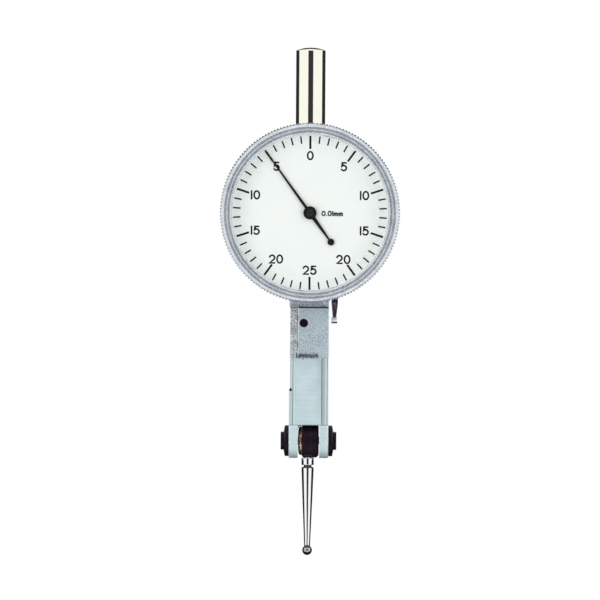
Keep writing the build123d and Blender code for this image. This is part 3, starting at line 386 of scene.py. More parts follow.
def leverFinish(name, look):
    tree = newFinish(name, metallic=1.0)
    z = tree.axes()[2]
    soft = look["soft"]
    streak = tree.noise(look["streak"], 3.0, 0.6, stretch=look["along"])
    onBar = tree.smooth(z, look["tipTop"] - soft, look["tipTop"] + soft)
    # the bar's near-black colour is a painted dark reflection on chrome, with lighter streaks
    dark = tree.mix(tree.smooth(streak, 0.4, 0.65), look["dark"], look["rubbedAndLight"])
    # painted shade along the foot of the tip
    foot = tree.smooth(z, look["foot"] + soft, look["foot"] - soft)
    tip = tree.mix(foot, look["tip"], look["rubbedAndLight"])
    colour = tree.mix(onBar, tip, dark)
    rough = look["roughness"] - onBar * 0.2 + streak * 0.05
    return tree.surface(colour, rough, tree.bump(streak, look["depth"]))


leverLook = dict(
    dark=(0.022, 0.015, 0.032), rubbedAndLight=(0.10, 0.09, 0.14), tip=(0.95, 0.95, 0.96), streak=0.35,
    along=(1.0, 1.0, 0.15), soft=0.04, roughness=0.45, tipTop=-46.05, foot=-46.93,
    depth=0.002,
)
leverChrome = leverFinish("leverChrome", leverLook)


# Blackened steel and ink: near black, lighter where worn, and a painted highlight ring on the hub

def blackFinish(name, look, ring=0):
    tree = newFinish(name)
    tree.skin["Specular IOR Level"].default_value = look["sheen"]
    grain = tree.noise(look["grain"], 3.0, 0.6)
    patch = tree.noise(look["patch"], 4.0, 0.6)
    wornAndLit = tree.smooth(patch, 0.45, 0.75)
    colour = tree.mix(wornAndLit, look["black"], look["wornAndLit"])
    if ring:
        # painted highlight: a lighter ring on the hub's dome
        low, high = ring - look["ringHalf"], ring + look["ringHalf"]
        rubbedAndLight = tree.band(tree.reach(), low, high, look["ringSoft"]) * patch * look["ringShare"]
        colour = tree.mix(rubbedAndLight, colour, look["rubbedAndLight"])
    rough = look["roughness"] + grain * 0.16 - wornAndLit * 0.08
    return tree.surface(colour, rough, tree.bump(grain, look["depth"]))


oxideLook = dict(
    black=(0.007, 0.003, 0.008), wornAndLit=(0.016, 0.008, 0.017), grain=0.30, patch=1.1, roughness=0.36,
    depth=0.008, sheen=0.12,
)
inkLook = dict(
    black=(0.010, 0.010, 0.011), wornAndLit=(0.018, 0.018, 0.020), grain=0.1, patch=0.8, roughness=0.42,
    depth=0.0015, sheen=0.1, rubbedAndLight=(0.075, 0.08, 0.085), ringHalf=0.09, ringSoft=0.06, ringShare=1.1,
)
blackOxide = blackFinish("blackOxide", oxideLook)
blackInk = blackFinish("blackInk", inkLook)
blackHub = blackFinish("blackHub", inkLook, 0.48)


# Bare metals of the movement: turned lines, a little tarnish

scratchSize = 0.12


def turnedMetal(name, look):
    tree = newFinish(name, metallic=1.0)
    tarnish = tree.noise(look["tarnish"], 4.0, 0.6)
    scratch = tree.noise(scratchSize, 2.0, 0.5, stretch=look["lines"])
    tone = tree.smooth(tarnish, 0.35, 0.7)
    colour = tree.mix(tone, look["bright"], look["dull"])
    rough = look["roughness"] + tarnish * 0.2 + scratch * 0.08
    return tree.surface(colour, rough, tree.bump(scratch, look["depth"]))


brassLook = dict(
    bright=(0.83, 0.63, 0.30), dull=(0.60, 0.42, 0.18), tarnish=1.8, lines=(1.0, 0.1, 1.0), roughness=0.18,
    depth=0.002,
)
steelLook = dict(
    bright=(0.74, 0.75, 0.77), dull=(0.52, 0.53, 0.56), tarnish=1.4, lines=(1.0, 0.2, 1.0), roughness=0.16,
    depth=0.002,
)
springLook = dict(
    bright=(0.20, 0.25, 0.42), dull=(0.12, 0.14, 0.24), tarnish=0.7, lines=(1.0, 1.0, 0.2), roughness=0.22,
    depth=0.001,
)
brass = turnedMetal("brass", brassLook)
steel = turnedMetal("steel", steelLook)
blueSteel = turnedMetal("blueSteel", springLook)


# Friction washer: pinkish bronze with a painted golden highlight towards the bottom, and dark spots

def washerFinish(name, look):
    tree = newFinish(name, metallic=1.0)
    z = tree.axes()[2]
    spots = tree.noise(look["spots"], 3.0, 0.7)
    lines = tree.noise(look["lines"], 2.0, 0.5)
    # painted highlight: golden towards the bottom
    goldenLight = tree.smooth(z, look["lightStart"], look["lightFull"])
    plain = tree.mix(goldenLight, look["pinkBronze"], look["goldenLight"])
    colour = tree.mix(tree.smooth(spots, 0.42, 0.56), plain, look["spot"])
    rough = look["roughness"] + spots * 0.2
    return tree.surface(colour, rough, tree.bump(lines, look["depth"]))


washerLook = dict(
    pinkBronze=(0.68, 0.33, 0.31), goldenLight=(0.98, 0.68, 0.38), spot=(0.10, 0.04, 0.05), lightStart=-70.2,
    lightFull=-72.6, spots=0.32, lines=0.18, roughness=0.20, depth=0.012,
)
washerBronze = washerFinish("washerBronze", washerLook)


# Dial enamel, the white spacer, ruby jewels and the crystal

def coatedFinish(name, look):
    tree = newFinish(name, ior=1.45, coat=look["coat"])
    tree.skin["Coat Roughness"].default_value = 0.2
    cloud = tree.noise(look["cloud"], 4.0, 0.55)
    peel = tree.noise(look["peel"], 2.0, 0.5)
    tone = tree.smooth(cloud, 0.3, 0.7)
    colour = tree.mix(tone, look["low"], look["high"])
    rough = look["roughness"] + peel * 0.1
    return tree.surface(colour, rough, tree.bump(peel, look["depth"]))


enamelLook = dict(
    low=(0.885, 0.905, 0.885), high=(0.905, 0.920, 0.900), cloud=5.0, peel=0.4, roughness=0.45,
    depth=0.0008, coat=0.1,
)
spacerLook = dict(
    low=(0.93, 0.94, 0.95), high=(0.96, 0.97, 0.97), cloud=3.0, peel=0.3, roughness=0.35, depth=0.0008,
    coat=0.2,
)
rubyLook = dict(
    low=(0.45, 0.01, 0.05), high=(0.62, 0.02, 0.09), cloud=0.8, peel=0.2, roughness=0.06, depth=0.0002,
    coat=0.5,
)
dialEnamel = coatedFinish("dialEnamel", enamelLook)
whiteSpacer = coatedFinish("whiteSpacer", spacerLook)
ruby = coatedFinish("ruby", rubyLook)


def clearFinish(name, look):
    tree = Tree(bpy.data.materials.new(name))
    tree.nodes.clear()
    haze = tree.noise(look["haze"], 3.0, 0.5)
    leaving = tree.node("ShaderNodeNewGeometry", output="Backfacing")
    edge = tree.node("ShaderNodeFresnel", {}, {"IOR": look["ior"]}) * (1 - leaving)
    clear = tree.node("ShaderNodeBsdfTransparent", {}, {"Color": rgba(*look["tint"])})
    gloss = tree.node("ShaderNodeBsdfAnisotropic", {}, {"Roughness": haze * 0.03 + 0.01})
    glass = tree.node("ShaderNodeMixShader", {}, {0: edge, 1: clear, 2: gloss})
    out = tree.nodes.new("ShaderNodeOutputMaterial")
    tree.feed(out.inputs["Surface"], glass)
    return tree.owner


crystalLook = dict(tint=(0.985, 0.992, 0.99), ior=1.45, haze=6.0)
clearCrystal = clearFinish("clearCrystal", crystalLook)
print("finishes made")


# Mesh builders

sharpAngle = 35
rimAngle = 30
flatAngle = 0.5
weldGap = 0.0005 * mm
wideShare = 3.2
cornerShare = 0.45


def placed(name, data):
    thing = bpy.data.objects.new(name, data)
    bpy.context.scene.collection.objects.link(thing)
    return thing


def newPiece(name, shape, material, body, stands=()):
    piece = placed(name, meshFrom(name, shape))
    piece.data.materials.append(material)
    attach(piece, body)
    if stands:
        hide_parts(*stands)
    return piece


def standIn(name, shape, material, node):
    # a piece shown in place of a CAD node, on the node's body
    return newPiece(name, shape, material, cad[node]["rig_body"], (node,))


def meshFrom(name, shape):
    bmesh.ops.recalc_face_normals(shape, faces=shape.faces)
    mesh = bpy.data.meshes.new(name)
    shape.to_mesh(mesh)
    shape.free()
    mesh.shade_smooth()
    mesh.set_sharp_from_angle(angle=radians(sharpAngle))
    return mesh


def eased(points, radius, steps=3, closed=False):
    # an outline with each corner turned into a short curve
    made = []
    count = len(points)
    for index, corner in enumerate(points):
        if not closed and index in (0, count - 1):
            made.append(tuple(corner))
            continue
        before = Vector(points[index - 1])
        here = Vector(corner)
        after = Vector(points[(index + 1) % count])
        back = before - here
        ahead = after - here
        reach = min(radius, cornerShare * back.length, cornerShare * ahead.length)
        first = here + back.normalized() * reach
        last = here + ahead.normalized() * reach
        for step in range(steps + 1):
            t = step / steps
            made.append(tuple(first * (1 - t) ** 2 + here * 2 * t * (1 - t) + last * t**2))
    return made


def onAxis(axis, centre, radius, along, angle):
    across, up = radius * sin(angle), radius * cos(angle)
    offset = {"X": (along, across, up), "Y": (across, along, up), "Z": (across, up, along)}[axis]
    return Vector(centre) + Vector(offset)


def turned(shape, outline, axis, centre, steps=64, closed=False, wave=None):
    # turns (radius, along) points about an axis; wave may change the radius with the angle
    rings = []
    for radius, along in outline:
        if radius < 1e-9:
            rings.append([shape.verts.new(onAxis(axis, centre, 0, along, 0))])
            continue
        ring = []
        for step in range(steps):
            angle = 2 * pi * step / steps
            reach = wave(radius, along, step) if wave else radius
            ring.append(shape.verts.new(onAxis(axis, centre, reach, along, angle)))
        rings.append(ring)
    pairs = list(zip(rings, rings[1:]))
    if closed:
        pairs.append((rings[-1], rings[0]))
    for low, high in pairs:
        if len(low) == 1 and len(high) == 1:
            continue
        for step in range(steps):
            after = (step + 1) % steps
            if len(low) == 1:
                shape.faces.new((low[0], high[step], high[after]))
            elif len(high) == 1:
                shape.faces.new((low[step], low[after], high[0]))
            else:
                shape.faces.new((low[step], low[after], high[after], high[step]))


def turnedPiece(name, outline, axis, centre, material, node, **options):
    shape = bmesh.new()
    turned(shape, outline, axis, centre, **options)
    standIn(name, shape, material, node)


def slab(shape, corners, depth):
    # a flat patch, thickened by depth along y
    face = shape.faces.new([shape.verts.new(corner) for corner in corners])
    grown = bmesh.ops.extrude_face_region(shape, geom=[face])
    moved = [v for v in grown["geom"] if isinstance(v, bmesh.types.BMVert)]
    bmesh.ops.translate(shape, verts=moved, vec=(0, depth, 0))


def bevelled(shape, edges, width, segments):
    bmesh.ops.bevel(shape, geom=edges, offset=width, offset_type="OFFSET", segments=segments, profile=0.5,
                    affect="EDGES", clamp_overlap=True)


def solidOf(node):
    shape = bmesh.new()
    shape.from_mesh(cad[node].data)
    bmesh.ops.remove_doubles(shape, verts=shape.verts, dist=weldGap)
    return shape


def dressed(node, edge, material, rounder=None):
    # a CAD node with its sharp edges eased by a small bevel, wider where rounder(middle) says so
    shape = solidOf(node)
    bmesh.ops.dissolve_limit(shape, angle_limit=radians(flatAngle), verts=shape.verts, edges=shape.edges)
    limit = radians(rimAngle)
    for widest in (True, False):
        rims = [e for e in shape.edges if len(e.link_faces) == 2 and e.calc_face_angle(0) > limit]
        if widest:
            rims = [e for e in rims if rounder and rounder((e.verts[0].co + e.verts[1].co) / 2)]
        bevelled(shape, rims, (wideShare if widest else 1.0) * edge * mm, 3 if widest else 2)
    piece = standIn(node + "_skin", shape, material, node)
    even = piece.modifiers.new("evenNormals", "WEIGHTED_NORMAL")
    even.keep_sharp = True


def paint(material, *names):
    for name in names:
        for slot in cad[name].material_slots:
            slot.material = material


# Stem: polished rod with a shallow dome

stemSizes = dict(domeRise=0.6, domeEdge=0.05, domeSteps=8, spigot=2.0, shoulder=2.6, footEdge=0.08)


def buildStem(sizes):
    low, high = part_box("stem")
    radius = span("stem").x / 2
    rise, edge, spigot, footEdge = lengths(sizes, "domeRise", "domeEdge", "spigot", "footEdge")
    foot = low.z + sizes["shoulder"] * mm
    domeRadius = (radius**2 + rise**2) / (2 * rise)
    outline = [(0, low.z), (spigot, low.z), (spigot, foot), (radius - footEdge, foot)]
    outline += [(radius, foot + footEdge), (radius, high.z - rise - edge)]
    for step in range(sizes["domeSteps"] + 1):
        reach = (radius - edge) * (1 - step / sizes["domeSteps"])
        drop = domeRadius - sqrt(domeRadius**2 - reach**2)
        outline.append((reach, high.z - drop))
    turnedPiece("stem_rod", outline, "Z", (0, 0, 0), mirrorStem, "stem", steps=96)


buildStem(stemSizes)


# Bezel: knurled band, bright rounded shoulder, groove, bead, flat and the chamfer of the window

bezelSizes = dict(
    knurlCount=168, knurlDepth=0.32, knurlLength=4.75, knurlEnd=[(0.0, 0.42), (0.16, 0.18), (0.32, -0.05)],
    slack=0.02, perTooth=6,
    shoulder=[(18.12, 0.55), (18.08, 0.33), (17.98, 0.22), (17.58, 0.02), (17.5, 0.0)],
    face=[(17.07, 0.0), (16.96, 0.045), (16.85, 0.0), (16.34, 0.0), (16.05, 0.24)], seat=16.41, bore=15.43,
    backEdge=0.25, backInset=0.3, round=0.03,
)


def buildBezel(sizes):
    low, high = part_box("bezel")
    radius = span("bezel").x / 2
    front, back = low.y, high.y
    depth, length, slack, seat, bore = lengths(sizes, "knurlDepth", "knurlLength", "slack", "seat", "bore")
    root = radius - depth
    knurlFront = back - length
    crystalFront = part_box("crystal")[0].y
    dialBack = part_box("dial")[1].y
    outline = [(radius, back - sizes["backEdge"] * mm)]
    outline += [(radius - inset * mm, knurlFront + along * mm) for inset, along in sizes["knurlEnd"]]
    outline += [(r * mm, front + drop * mm) for r, drop in sizes["shoulder"] + sizes["face"]]
    outline += [
        (sizes["face"][-1][0] * mm, crystalFront),
        (seat, crystalFront),
        (seat, dialBack),
        (bore, dialBack),
        (bore, back),
        (root - sizes["backInset"] * mm, back),
    ]
    outline = outline[:4] + eased(outline[4:], sizes["round"] * mm, 2)
    perTooth = sizes["perTooth"]

    def knurl(reach, along, step):
        # full grooves on the band, fading out towards the shoulder
        if along < knurlFront - slack or reach < root + slack:
            return reach
        share = abs((step % perTooth) / perTooth * 2 - 1)  # 1 on a crest, 0 in a valley
        return root + (reach - root) * share

    turnedPiece("bezel_ring", outline, "Y", headAxis, satinBezel, "bezel",
                steps=sizes["knurlCount"] * perTooth, closed=True, wave=knurl)


buildBezel(bezelSizes)


# Crystal: flat glass with a small ground edge

def buildCrystal(edge):
    low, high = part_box("crystal")
    radius = span("crystal").x / 2
    outline = [(0, low.y), (radius - edge, low.y), (radius, low.y + edge)]
    outline += [(radius, high.y - edge), (radius - edge, high.y), (0, high.y)]
    turnedPiece("crystal_glass", outline, "Y", headAxis, clearCrystal, "crystal", steps=128)


buildCrystal(edge=0.12 * mm)
print("stem, bezel and crystal built")


# Dial print: fifty divisions and upright numerals, drawn as thin ink strokes

printSizes = dict(
    inkRise=0.012, inkSunk=0.02, divisions=50, majorEvery=5, tickOuter=15.72, minorInner=14.2,
    majorInner=13.05, minorWidth=0.31, majorWidth=0.43, numeralRadius=11.7, numeralHeight=1.58,
    stroke=0.35, gap=0.16, unitSpot=(4.55, -0.1), unitHeight=0.88, unitStroke=0.27, unitGap=0.05,
)
glyphWidths = {"0": 1.08, "1": 0.0, "2": 1.02, "5": 1.02, ".": 0.0, "m": 1.2}


def arc(centreX, centreZ, radiusX, radiusZ, start, end, steps=12):
    turns = [radians(start + (end - start) * step / steps) for step in range(steps + 1)]
    return [(centreX + radiusX * cos(a), centreZ + radiusZ * sin(a)) for a in turns]


def glyphStrokes(sign, width, height):
    # centre lines of a sign's strokes, with its lower left corner at 0, 0
    half = width / 2
    if sign == "0":
        return [arc(half, height / 2, half, height / 2, 90, 450, 28)]
    if sign == "1":
        return [[(0, 0), (0, height)]]
    if sign == "2":
        bowl = arc(half, height - half, half, half, 165, -38, 12)
        return [bowl + [(0.03 * height, 0), (width, 0)]]
    if sign == "5":
        bowl = arc(half * 0.94, height * 0.33, half * 1.06, height * 0.33, 128, -148, 14)
        return [[(width * 0.92, height), (width * 0.16, height), (width * 0.06, height * 0.52)] + bowl]
    if sign == "m":
        strokes = [[(0, 0), (0, 0.62 * height)]]
        for start in (0, half):
            top = arc(start + half / 2, 0.40 * height, half / 2, 0.22 * height, 180, 0, 8)
            strokes.append([(start, 0.36 * height)] + top + [(start + half, 0)])
        return strokes
    return [[(0, 0), (0, 0.02 * height)]]


def strokeOutline(points, half):
    # the outline of a pen stroke of width 2 * half along points, with round ends
    path = [Vector(p) for p in points]
    left, right = [], []
    for index, here in enumerate(path):
        back = (here - path[index - 1]).normalized() if index else None
        ahead = (path[index + 1] - here).normalized() if index < len(path) - 1 else None
        way = ((back or ahead) + (ahead or back)).normalized()
        side = Vector((-way.y, way.x))
        bend = max(0.5, way.dot(ahead or back))
        left.append(here + side * half / bend)
        right.append(here - side * half / bend)
    startWay = (path[0] - path[1]).normalized()
    endWay = (path[-1] - path[-2]).normalized()

    def cap(centre, way):
        side = Vector((-way.y, way.x))
        turns = [radians(a) for a in (60, 30, 0, -30, -60)]
        return [centre + way * half * cos(a) + side * half * sin(a) for a in turns]

    return left + cap(path[-1], endWay) + right[::-1] + cap(path[0], startWay)


def addInk(shape, loop, front):
    # a flat inked patch inside a loop of (x, z) points in metres, proud of the dial
    rise = printSizes["inkRise"] * mm
    slab(shape, [(x, front - rise, z) for x, z in loop], rise * (1 - printSizes["inkSunk"]))


def addRing(shape, points, half, front):
    # a closed stroke: an outer loop, an inner loop and the walls between them
    rise = printSizes["inkRise"] * mm
    sunk = printSizes["inkSunk"] * rise
    path = [Vector(p) for p in points[:-1]]
    count = len(path)
    loops = []
    for reach, depth in ((half, rise), (-half, rise), (-half, sunk), (half, sunk)):
        loop = []
        for index, here in enumerate(path):
            way = (path[(index + 1) % count] - path[index - 1]).normalized()
            out = Vector((way.y, -way.x)) * reach
            loop.append(shape.verts.new((here.x + out.x, front - depth, here.y + out.y)))
        loops.append(loop)
    for low, high in zip(loops, loops[1:] + loops[:1]):
        for index in range(count):
            after = (index + 1) % count
            shape.faces.new((low[index], low[after], high[after], high[index]))


def writeSigns(shape, text, centre, height, stroke, gap, front):
    scale = height / printSizes["numeralHeight"]
    widths = [glyphWidths[sign] * scale for sign in text]
    total = sum(widths) + (gap + stroke) * (len(text) - 1)
    x = centre[0] / mm - total / 2
    z = centre[1] / mm - height / 2
    for sign, width in zip(text, widths):
        for line in glyphStrokes(sign, width, height):
            inked = [((x + px) * mm, (z + pz) * mm) for px, pz in line]
            if sign == "0":
                addRing(shape, inked, stroke / 2 * mm, front)
            else:
                addInk(shape, strokeOutline(inked, stroke / 2 * mm), front)
        x += width + gap + stroke


def buildPrint(sizes):
    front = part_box("dial")[0].y
    ticks = bmesh.new()
    for index in range(sizes["divisions"]):
        turn = 2 * pi * index / sizes["divisions"]
        major = index % sizes["majorEvery"] == 0
        inner = sizes["majorInner" if major else "minorInner"] * mm
        half = sizes["majorWidth" if major else "minorWidth"] / 2 * mm
        along = Vector((sin(turn), cos(turn)))
        across = Vector((along.y, -along.x))
        centre = Vector((0, dialCentre.z))
        outer = sizes["tickOuter"] * mm
        corners = ((inner, -half), (outer, -half), (outer, half), (inner, half))
        addInk(ticks, [centre + along * r + across * s for r, s in corners], front)
    newPiece("dial_divisions", ticks, blackInk, "dial_ring")
    numerals = bmesh.new()
    labels = ["0", "5", "10", "15", "20", "25", "20", "15", "10", "5"]
    for index, label in enumerate(labels):
        turn = 2 * pi * index / len(labels)
        reach = sizes["numeralRadius"] * mm
        spot = (reach * sin(turn), dialCentre.z + reach * cos(turn))
        writeSigns(numerals, label, spot, sizes["numeralHeight"], sizes["stroke"], sizes["gap"], front)
    right, rise = sizes["unitSpot"]
    spot = (right * mm, dialCentre.z + rise * mm)
    writeSigns(numerals, "0.01mm", spot, sizes["unitHeight"], sizes["unitStroke"], sizes["unitGap"], front)
    newPiece("dial_numerals", numerals, blackInk, "dial_ring")


buildPrint(printSizes)
paint(dialEnamel, "dial")
paint(whiteSpacer, "spacer_ring")
print("dial printed")


# Pointer and its hub cap

hubSizes = dict(
    radius=1.35, crown=0.10, ringDepth=0.06, ringInner=0.86, ringOuter=0.98, lip=0.03,
    edge=[(0.1, 0.14), (0.0, 0.24)], crownSteps=5,
)


def buildHub(sizes):
    low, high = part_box("pointer_hub")
    radius, lip, inner, outer = lengths(sizes, "radius", "lip", "ringInner", "ringOuter")
    top = low.y
    face = [(0, top)]
    for step in range(1, sizes["crownSteps"] + 1):
        reach = inner * step / sizes["crownSteps"]
        face.append((reach, top + sizes["crown"] * mm * (reach / radius) ** 2))
    edgeY = face[-1][1]
    floor = edgeY + sizes["ringDepth"] * mm
    face += [(inner + lip, floor), (outer, floor), (outer + lip, edgeY + lip)]
    face += [(radius - inset * mm, top + drop * mm) for inset, drop in sizes["edge"]]
    face += [(radius, high.y), (0, high.y)]
    turnedPiece("hub_cap", face, "Y", headAxis, blackHub, "pointer_hub")


buildHub(hubSizes)
paint(blackInk, "pointer")
print("pointer dressed")


# Case, neck, arm and covers: CAD forms with eased edges

armMarks = dict(
    dirtAndShade=(0.022, 0.016, 0.03), glintColour=(0.97, 0.97, 0.97), soft=0.12, blur=0.03,
    fine=0.02, front=-1.5, ledge=ledgeZ, rise=0.85, ragged=2.2, ledgeLeft=-2.7,
    ledgeRight=1.9, ledgeShare=0.72, seamStart=-2.44, seam=-2.28,
    seamGlint=(-2.22, -2.10), glintShare=0.8, neckGap=seamZ - 0.26, neckEnd=seamZ - 0.01,
    leftStrip=-3.3, leftStripShare=0.4, pocketLeft=-3.0, pocketRight=2.7, stripEnd=3.36,
    borders=(-2.98, 2.42, 3.5), earBorders=(-3.86, 2.27, 3.86),
    borderHalf=0.10, borderSoft=0.04, shoulder=pivotZ + 3.25, shoulderHalf=0.08,
    shoulderShare=0.4, edges=(-3.24, 2.68, 3.74), edgeHalf=0.07, edgeShare=0.6,
    holes=((-3.72, ledgeZ - 6.45, 0.32), (-2.2, pivotZ + 2.4, 0.13)),
    holeShare=0.93, seamRub=0.5, seamBase=0.3, sunkShare=0.4, paneShare=0.6,
)
armMetal = armFinish("armMetal", upperArmLook, lowerArmLook, armMarks)


# Black block in the roof's left corner of the fork's slot, clear of the washer: a dark piece standing in for
# the shade there

slotShadeSizes = dict(
    top=[(-2.21, -68.05), (-1.4, -68.05), (-1.4, -68.24)],
    hollow=[(-1.75, -68.3), (-2.0, -68.5), (-2.21, -68.85)], front=-1.6, depth=3.8, edge=0.03,
)


def buildSlotShade(sizes):
    shape = bmesh.new()
    corners = [(x * mm, sizes["front"] * mm, z * mm) for x, z in sizes["top"] + sizes["hollow"]]
    slab(shape, corners, sizes["depth"] * mm)
    bevelled(shape, list(shape.edges), sizes["edge"] * mm, 2)
    newPiece("slot_shade_block", shape, blackOxide, "frame")


buildSlotShade(slotShadeSizes)


earTop = 1.5 * mm
earRim = 3.0 * mm


def onEarEnd(spot):
    # the rims round both ears' ends
    away = Vector((spot.y, spot.z - pivot.z)).length
    return spot.z < pivot.z + earTop and away > earRim


dressed("case_body", 0.08, satinHead)
dressed("arm_housing", 0.07, armMetal, rounder=onEarEnd)
dressed("side_cover", 0.05, armMetal)
dressed("back_cover", 0.06, satinHead)
dressed("reversing_lever", 0.09, leverChrome)
dressed("measuring_lever", 0.05, blackOxide)
print("case and arm dressed")


# Slotted screws

screwSizes = dict(slot=0.22, slotDepth=0.28, edge=0.07, firstTurn=0.5, nextTurn=1.1)
rimSteps = 16


def slottedScrew(shape, centre, axis, side, radius, length, sizes, turn):
    # a cylinder whose outer end, on the given side of its axis, has a slot cut across it
    slot, slotDepth, edge = lengths(sizes, "slot", "slotDepth", "edge")
    floor = -side * slotDepth
    across = Vector((0, 1, 0)) if axis == "X" else Vector((1, 0, 0))
    way = Vector([float(axis == name) for name in "XYZ"])
    up = way.cross(across)
    first = across * cos(turn) + up * sin(turn)
    second = way.cross(first)
    start = asin(slot / 2 / radius)
    for sign in (1, -1):
        rim = []
        for step in range(rimSteps + 1):
            a = start + (pi - 2 * start) * step / rimSteps
            rim.append(first * cos(a) * radius + second * sign * sin(a) * radius)
        top = [shape.verts.new(centre + p * (1 - edge / radius)) for p in rim]
        upper = [shape.verts.new(centre + p - way * side * edge) for p in rim]
        lower = [shape.verts.new(centre + p + way * floor) for p in rim]
        shape.faces.new(top)
        for index in range(rimSteps):
            shape.faces.new((top[index], top[index + 1], upper[index + 1], upper[index]))
            shape.faces.new((upper[index], upper[index + 1], lower[index + 1], lower[index]))
        shape.faces.new((top[-1], top[0], upper[0], lower[0], lower[-1], upper[-1]))
    outline = [(0, floor), (radius, floor), (radius, -side * length), (0, -side * length)]
    turned(shape, outline, axis, centre, steps=2 * rimSteps)


def solidBoxes(node):
    # the lowest and highest corner of each separate solid in a CAD node
    shape = solidOf(node)
    left = set(shape.verts)
    boxes = []
    while left:
        stack = [min(left, key=lambda v: v.index)]
        found = set(stack)
        while stack:
            for edge in stack.pop().link_edges:
                for vert in edge.verts:
                    if vert not in found:
                        found.add(vert)
                        stack.append(vert)
        left -= found
        boxes.append([Vector([end(v.co[i] for v in found) for i in range(3)]) for end in (min, max)])
    shape.free()
    return boxes


screws = [
    ("case_screws", "back_cover_screws", "Y", 1, steel),
    ("cover_screws", "side_cover_screws", "X", -1, steel),
    ("arm_set_screw", "arm_screw", "Y", -1, blackOxide),
]


def buildScrews(name, node, axis, side, material):
    # the screws of a CAD node, whose heads are on the given side of their axis
    shape = bmesh.new()
    along = "XYZ".index(axis)
    for index, (low, high) in enumerate(solidBoxes(node)):
        centre, size = (low + high) / 2, high - low
        centre[along] = (high if side > 0 else low)[along]
        turn = screwSizes["firstTurn"] + screwSizes["nextTurn"] * index
        slottedScrew(shape, centre, axis, side, size[1 - along] / 2, size[along], screwSizes, turn)
    standIn(name, shape, material, node)


for screwRow in screws:
    buildScrews(*screwRow)
print("screws cut")


# Fork: lock nuts, bearing screws, holder and washer

def sideOf(low, high):
    # which side a solid is on, and its inner and outer end along x
    side = 1 if high.x > 0 else -1
    near, far = sorted((abs(low.x), abs(high.x)))
    return side, near * side, far * side


nutSizes = dict(bore=1.51, rim=0.8, face=1.85, edge=0.08, toothedFrom=2.9, tooth=0.05)


def buildLockNuts(sizes):
    def serrated(reach, along, step):
        toothed = reach >= sizes["toothedFrom"] * mm
        return reach - sizes["tooth"] * mm * (step % 2) if toothed else reach

    shape = bmesh.new()
    bore, face, edge = lengths(sizes, "bore", "face", "edge")
    for low, high in solidBoxes("lock_nuts"):
        side, inner, outer = sideOf(low, high)
        radius = (high.z - low.z) / 2
        outline = [(bore, inner), (radius, inner), (radius, inner + side * sizes["rim"] * mm)]
        outline += [(face, outer), (bore, outer)]
        turned(shape, eased(outline, edge, 2, True), "X", forkAxis, steps=96, closed=True, wave=serrated)
    standIn("ring_nuts", shape, blackOxide, "lock_nuts")


bearingSizes = dict(
    slot=0.55, slotDepth=0.35, edge=0.08, turn=1.2, head=0.6, shank=1.5, cup=0.79, cupDepth=0.8,
)


def buildBearingScrews(sizes):
    shape = bmesh.new()
    head, shank, cup, cupDepth = lengths(sizes, "head", "shank", "cup", "cupDepth")
    for low, high in solidBoxes("bearing_screws"):
        side, inner, outer = sideOf(low, high)
        seat = outer - side * head
        centre = forkAxis + Vector((outer, 0, 0))
        slottedScrew(shape, centre, "X", side, (high.z - low.z) / 2, head, sizes, sizes["turn"])
        outline = [(cup, inner), (shank, inner), (shank, seat), (0, seat), (0, inner + side * cupDepth)]
        turned(shape, outline, "X", forkAxis, steps=48)
    standIn("cone_screws", shape, blackOxide, "bearing_screws")


holderSizes = dict(bore=0.83, edge=0.5, rightEdge=0.04, edgeSteps=6)


def buildHolder(sizes):
    low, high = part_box("stylus_holder")
    radius = span("stylus_holder").z / 2
    bore, edge, rightEdge = lengths(sizes, "bore", "edge", "rightEdge")
    outline = [(bore, low.x)] + arc(radius - edge, low.x + edge, edge, -edge, 90, 0, sizes["edgeSteps"])
    outline += [(radius, high.x - rightEdge), (radius - rightEdge, high.x), (bore, high.x)]
    turnedPiece("holder_drum", outline, "X", forkAxis, blackOxide, "stylus_holder", steps=96, closed=True)


# Dished friction washer, pressed nearly flat at its rim, and the thin shims on both sides of the drum

washerSizes = dict(
    outside=[(0.95, 0.0), (1.8, 0.01), (2.3, 0.05), (2.6, 0.13), (2.8, 0.24), (2.92, 0.42), (2.95, 0.69)],
    bore=0.95, thickness=0.2, inset=0.08, shimBore=0.83, shimGap=0.004, leftShim=2.9, rightShim=3.35,
)


def buildWasher(sizes):
    low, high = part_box("friction_washer")
    bore, thickness, inset, gap = lengths(sizes, "bore", "thickness", "inset", "shimGap")
    outside = [(r * mm, low.x + drop * mm) for r, drop in sizes["outside"]]
    inside = [(max(r - inset, bore), min(along + thickness, high.x)) for r, along in outside]
    turnedPiece("bronze_washer", outside + inside[::-1], "X", forkAxis, washerBronze, "friction_washer",
                steps=96, closed=True)
    drumLow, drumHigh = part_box("stylus_holder")
    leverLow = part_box("measuring_lever")[0]
    shape = bmesh.new()
    for start, end, radius in ((high.x, drumLow.x, "leftShim"), (drumHigh.x, leverLow.x, "rightShim")):
        inner, outer = sizes["shimBore"] * mm, sizes[radius] * mm
        shim = [(inner, start + gap), (outer, start + gap), (outer, end - gap), (inner, end - gap)]
        turned(shape, shim, "X", forkAxis, closed=True)
    newPiece("drum_shim", shape, blackOxide, "stylus_arm")


buildLockNuts(nutSizes)
buildBearingScrews(bearingSizes)
buildHolder(holderSizes)
buildWasher(washerSizes)
print("fork dressed")


# Stylus: collar, neck, rounded head, long taper and the contact ball

stylusSizes = dict(
    collarBore=0.61, collarEdge=0.14, top=0.6, neck=0.78, headStart=5.32, headRound=0.4, headSquash=0.7,
    head=1.25, taper=11.6, breakRadius=1.02, endRadius=0.6, ball=1.0, overlap=0.03, neckGrowth=0.02,
    headSteps=6, ballSteps=18,
)


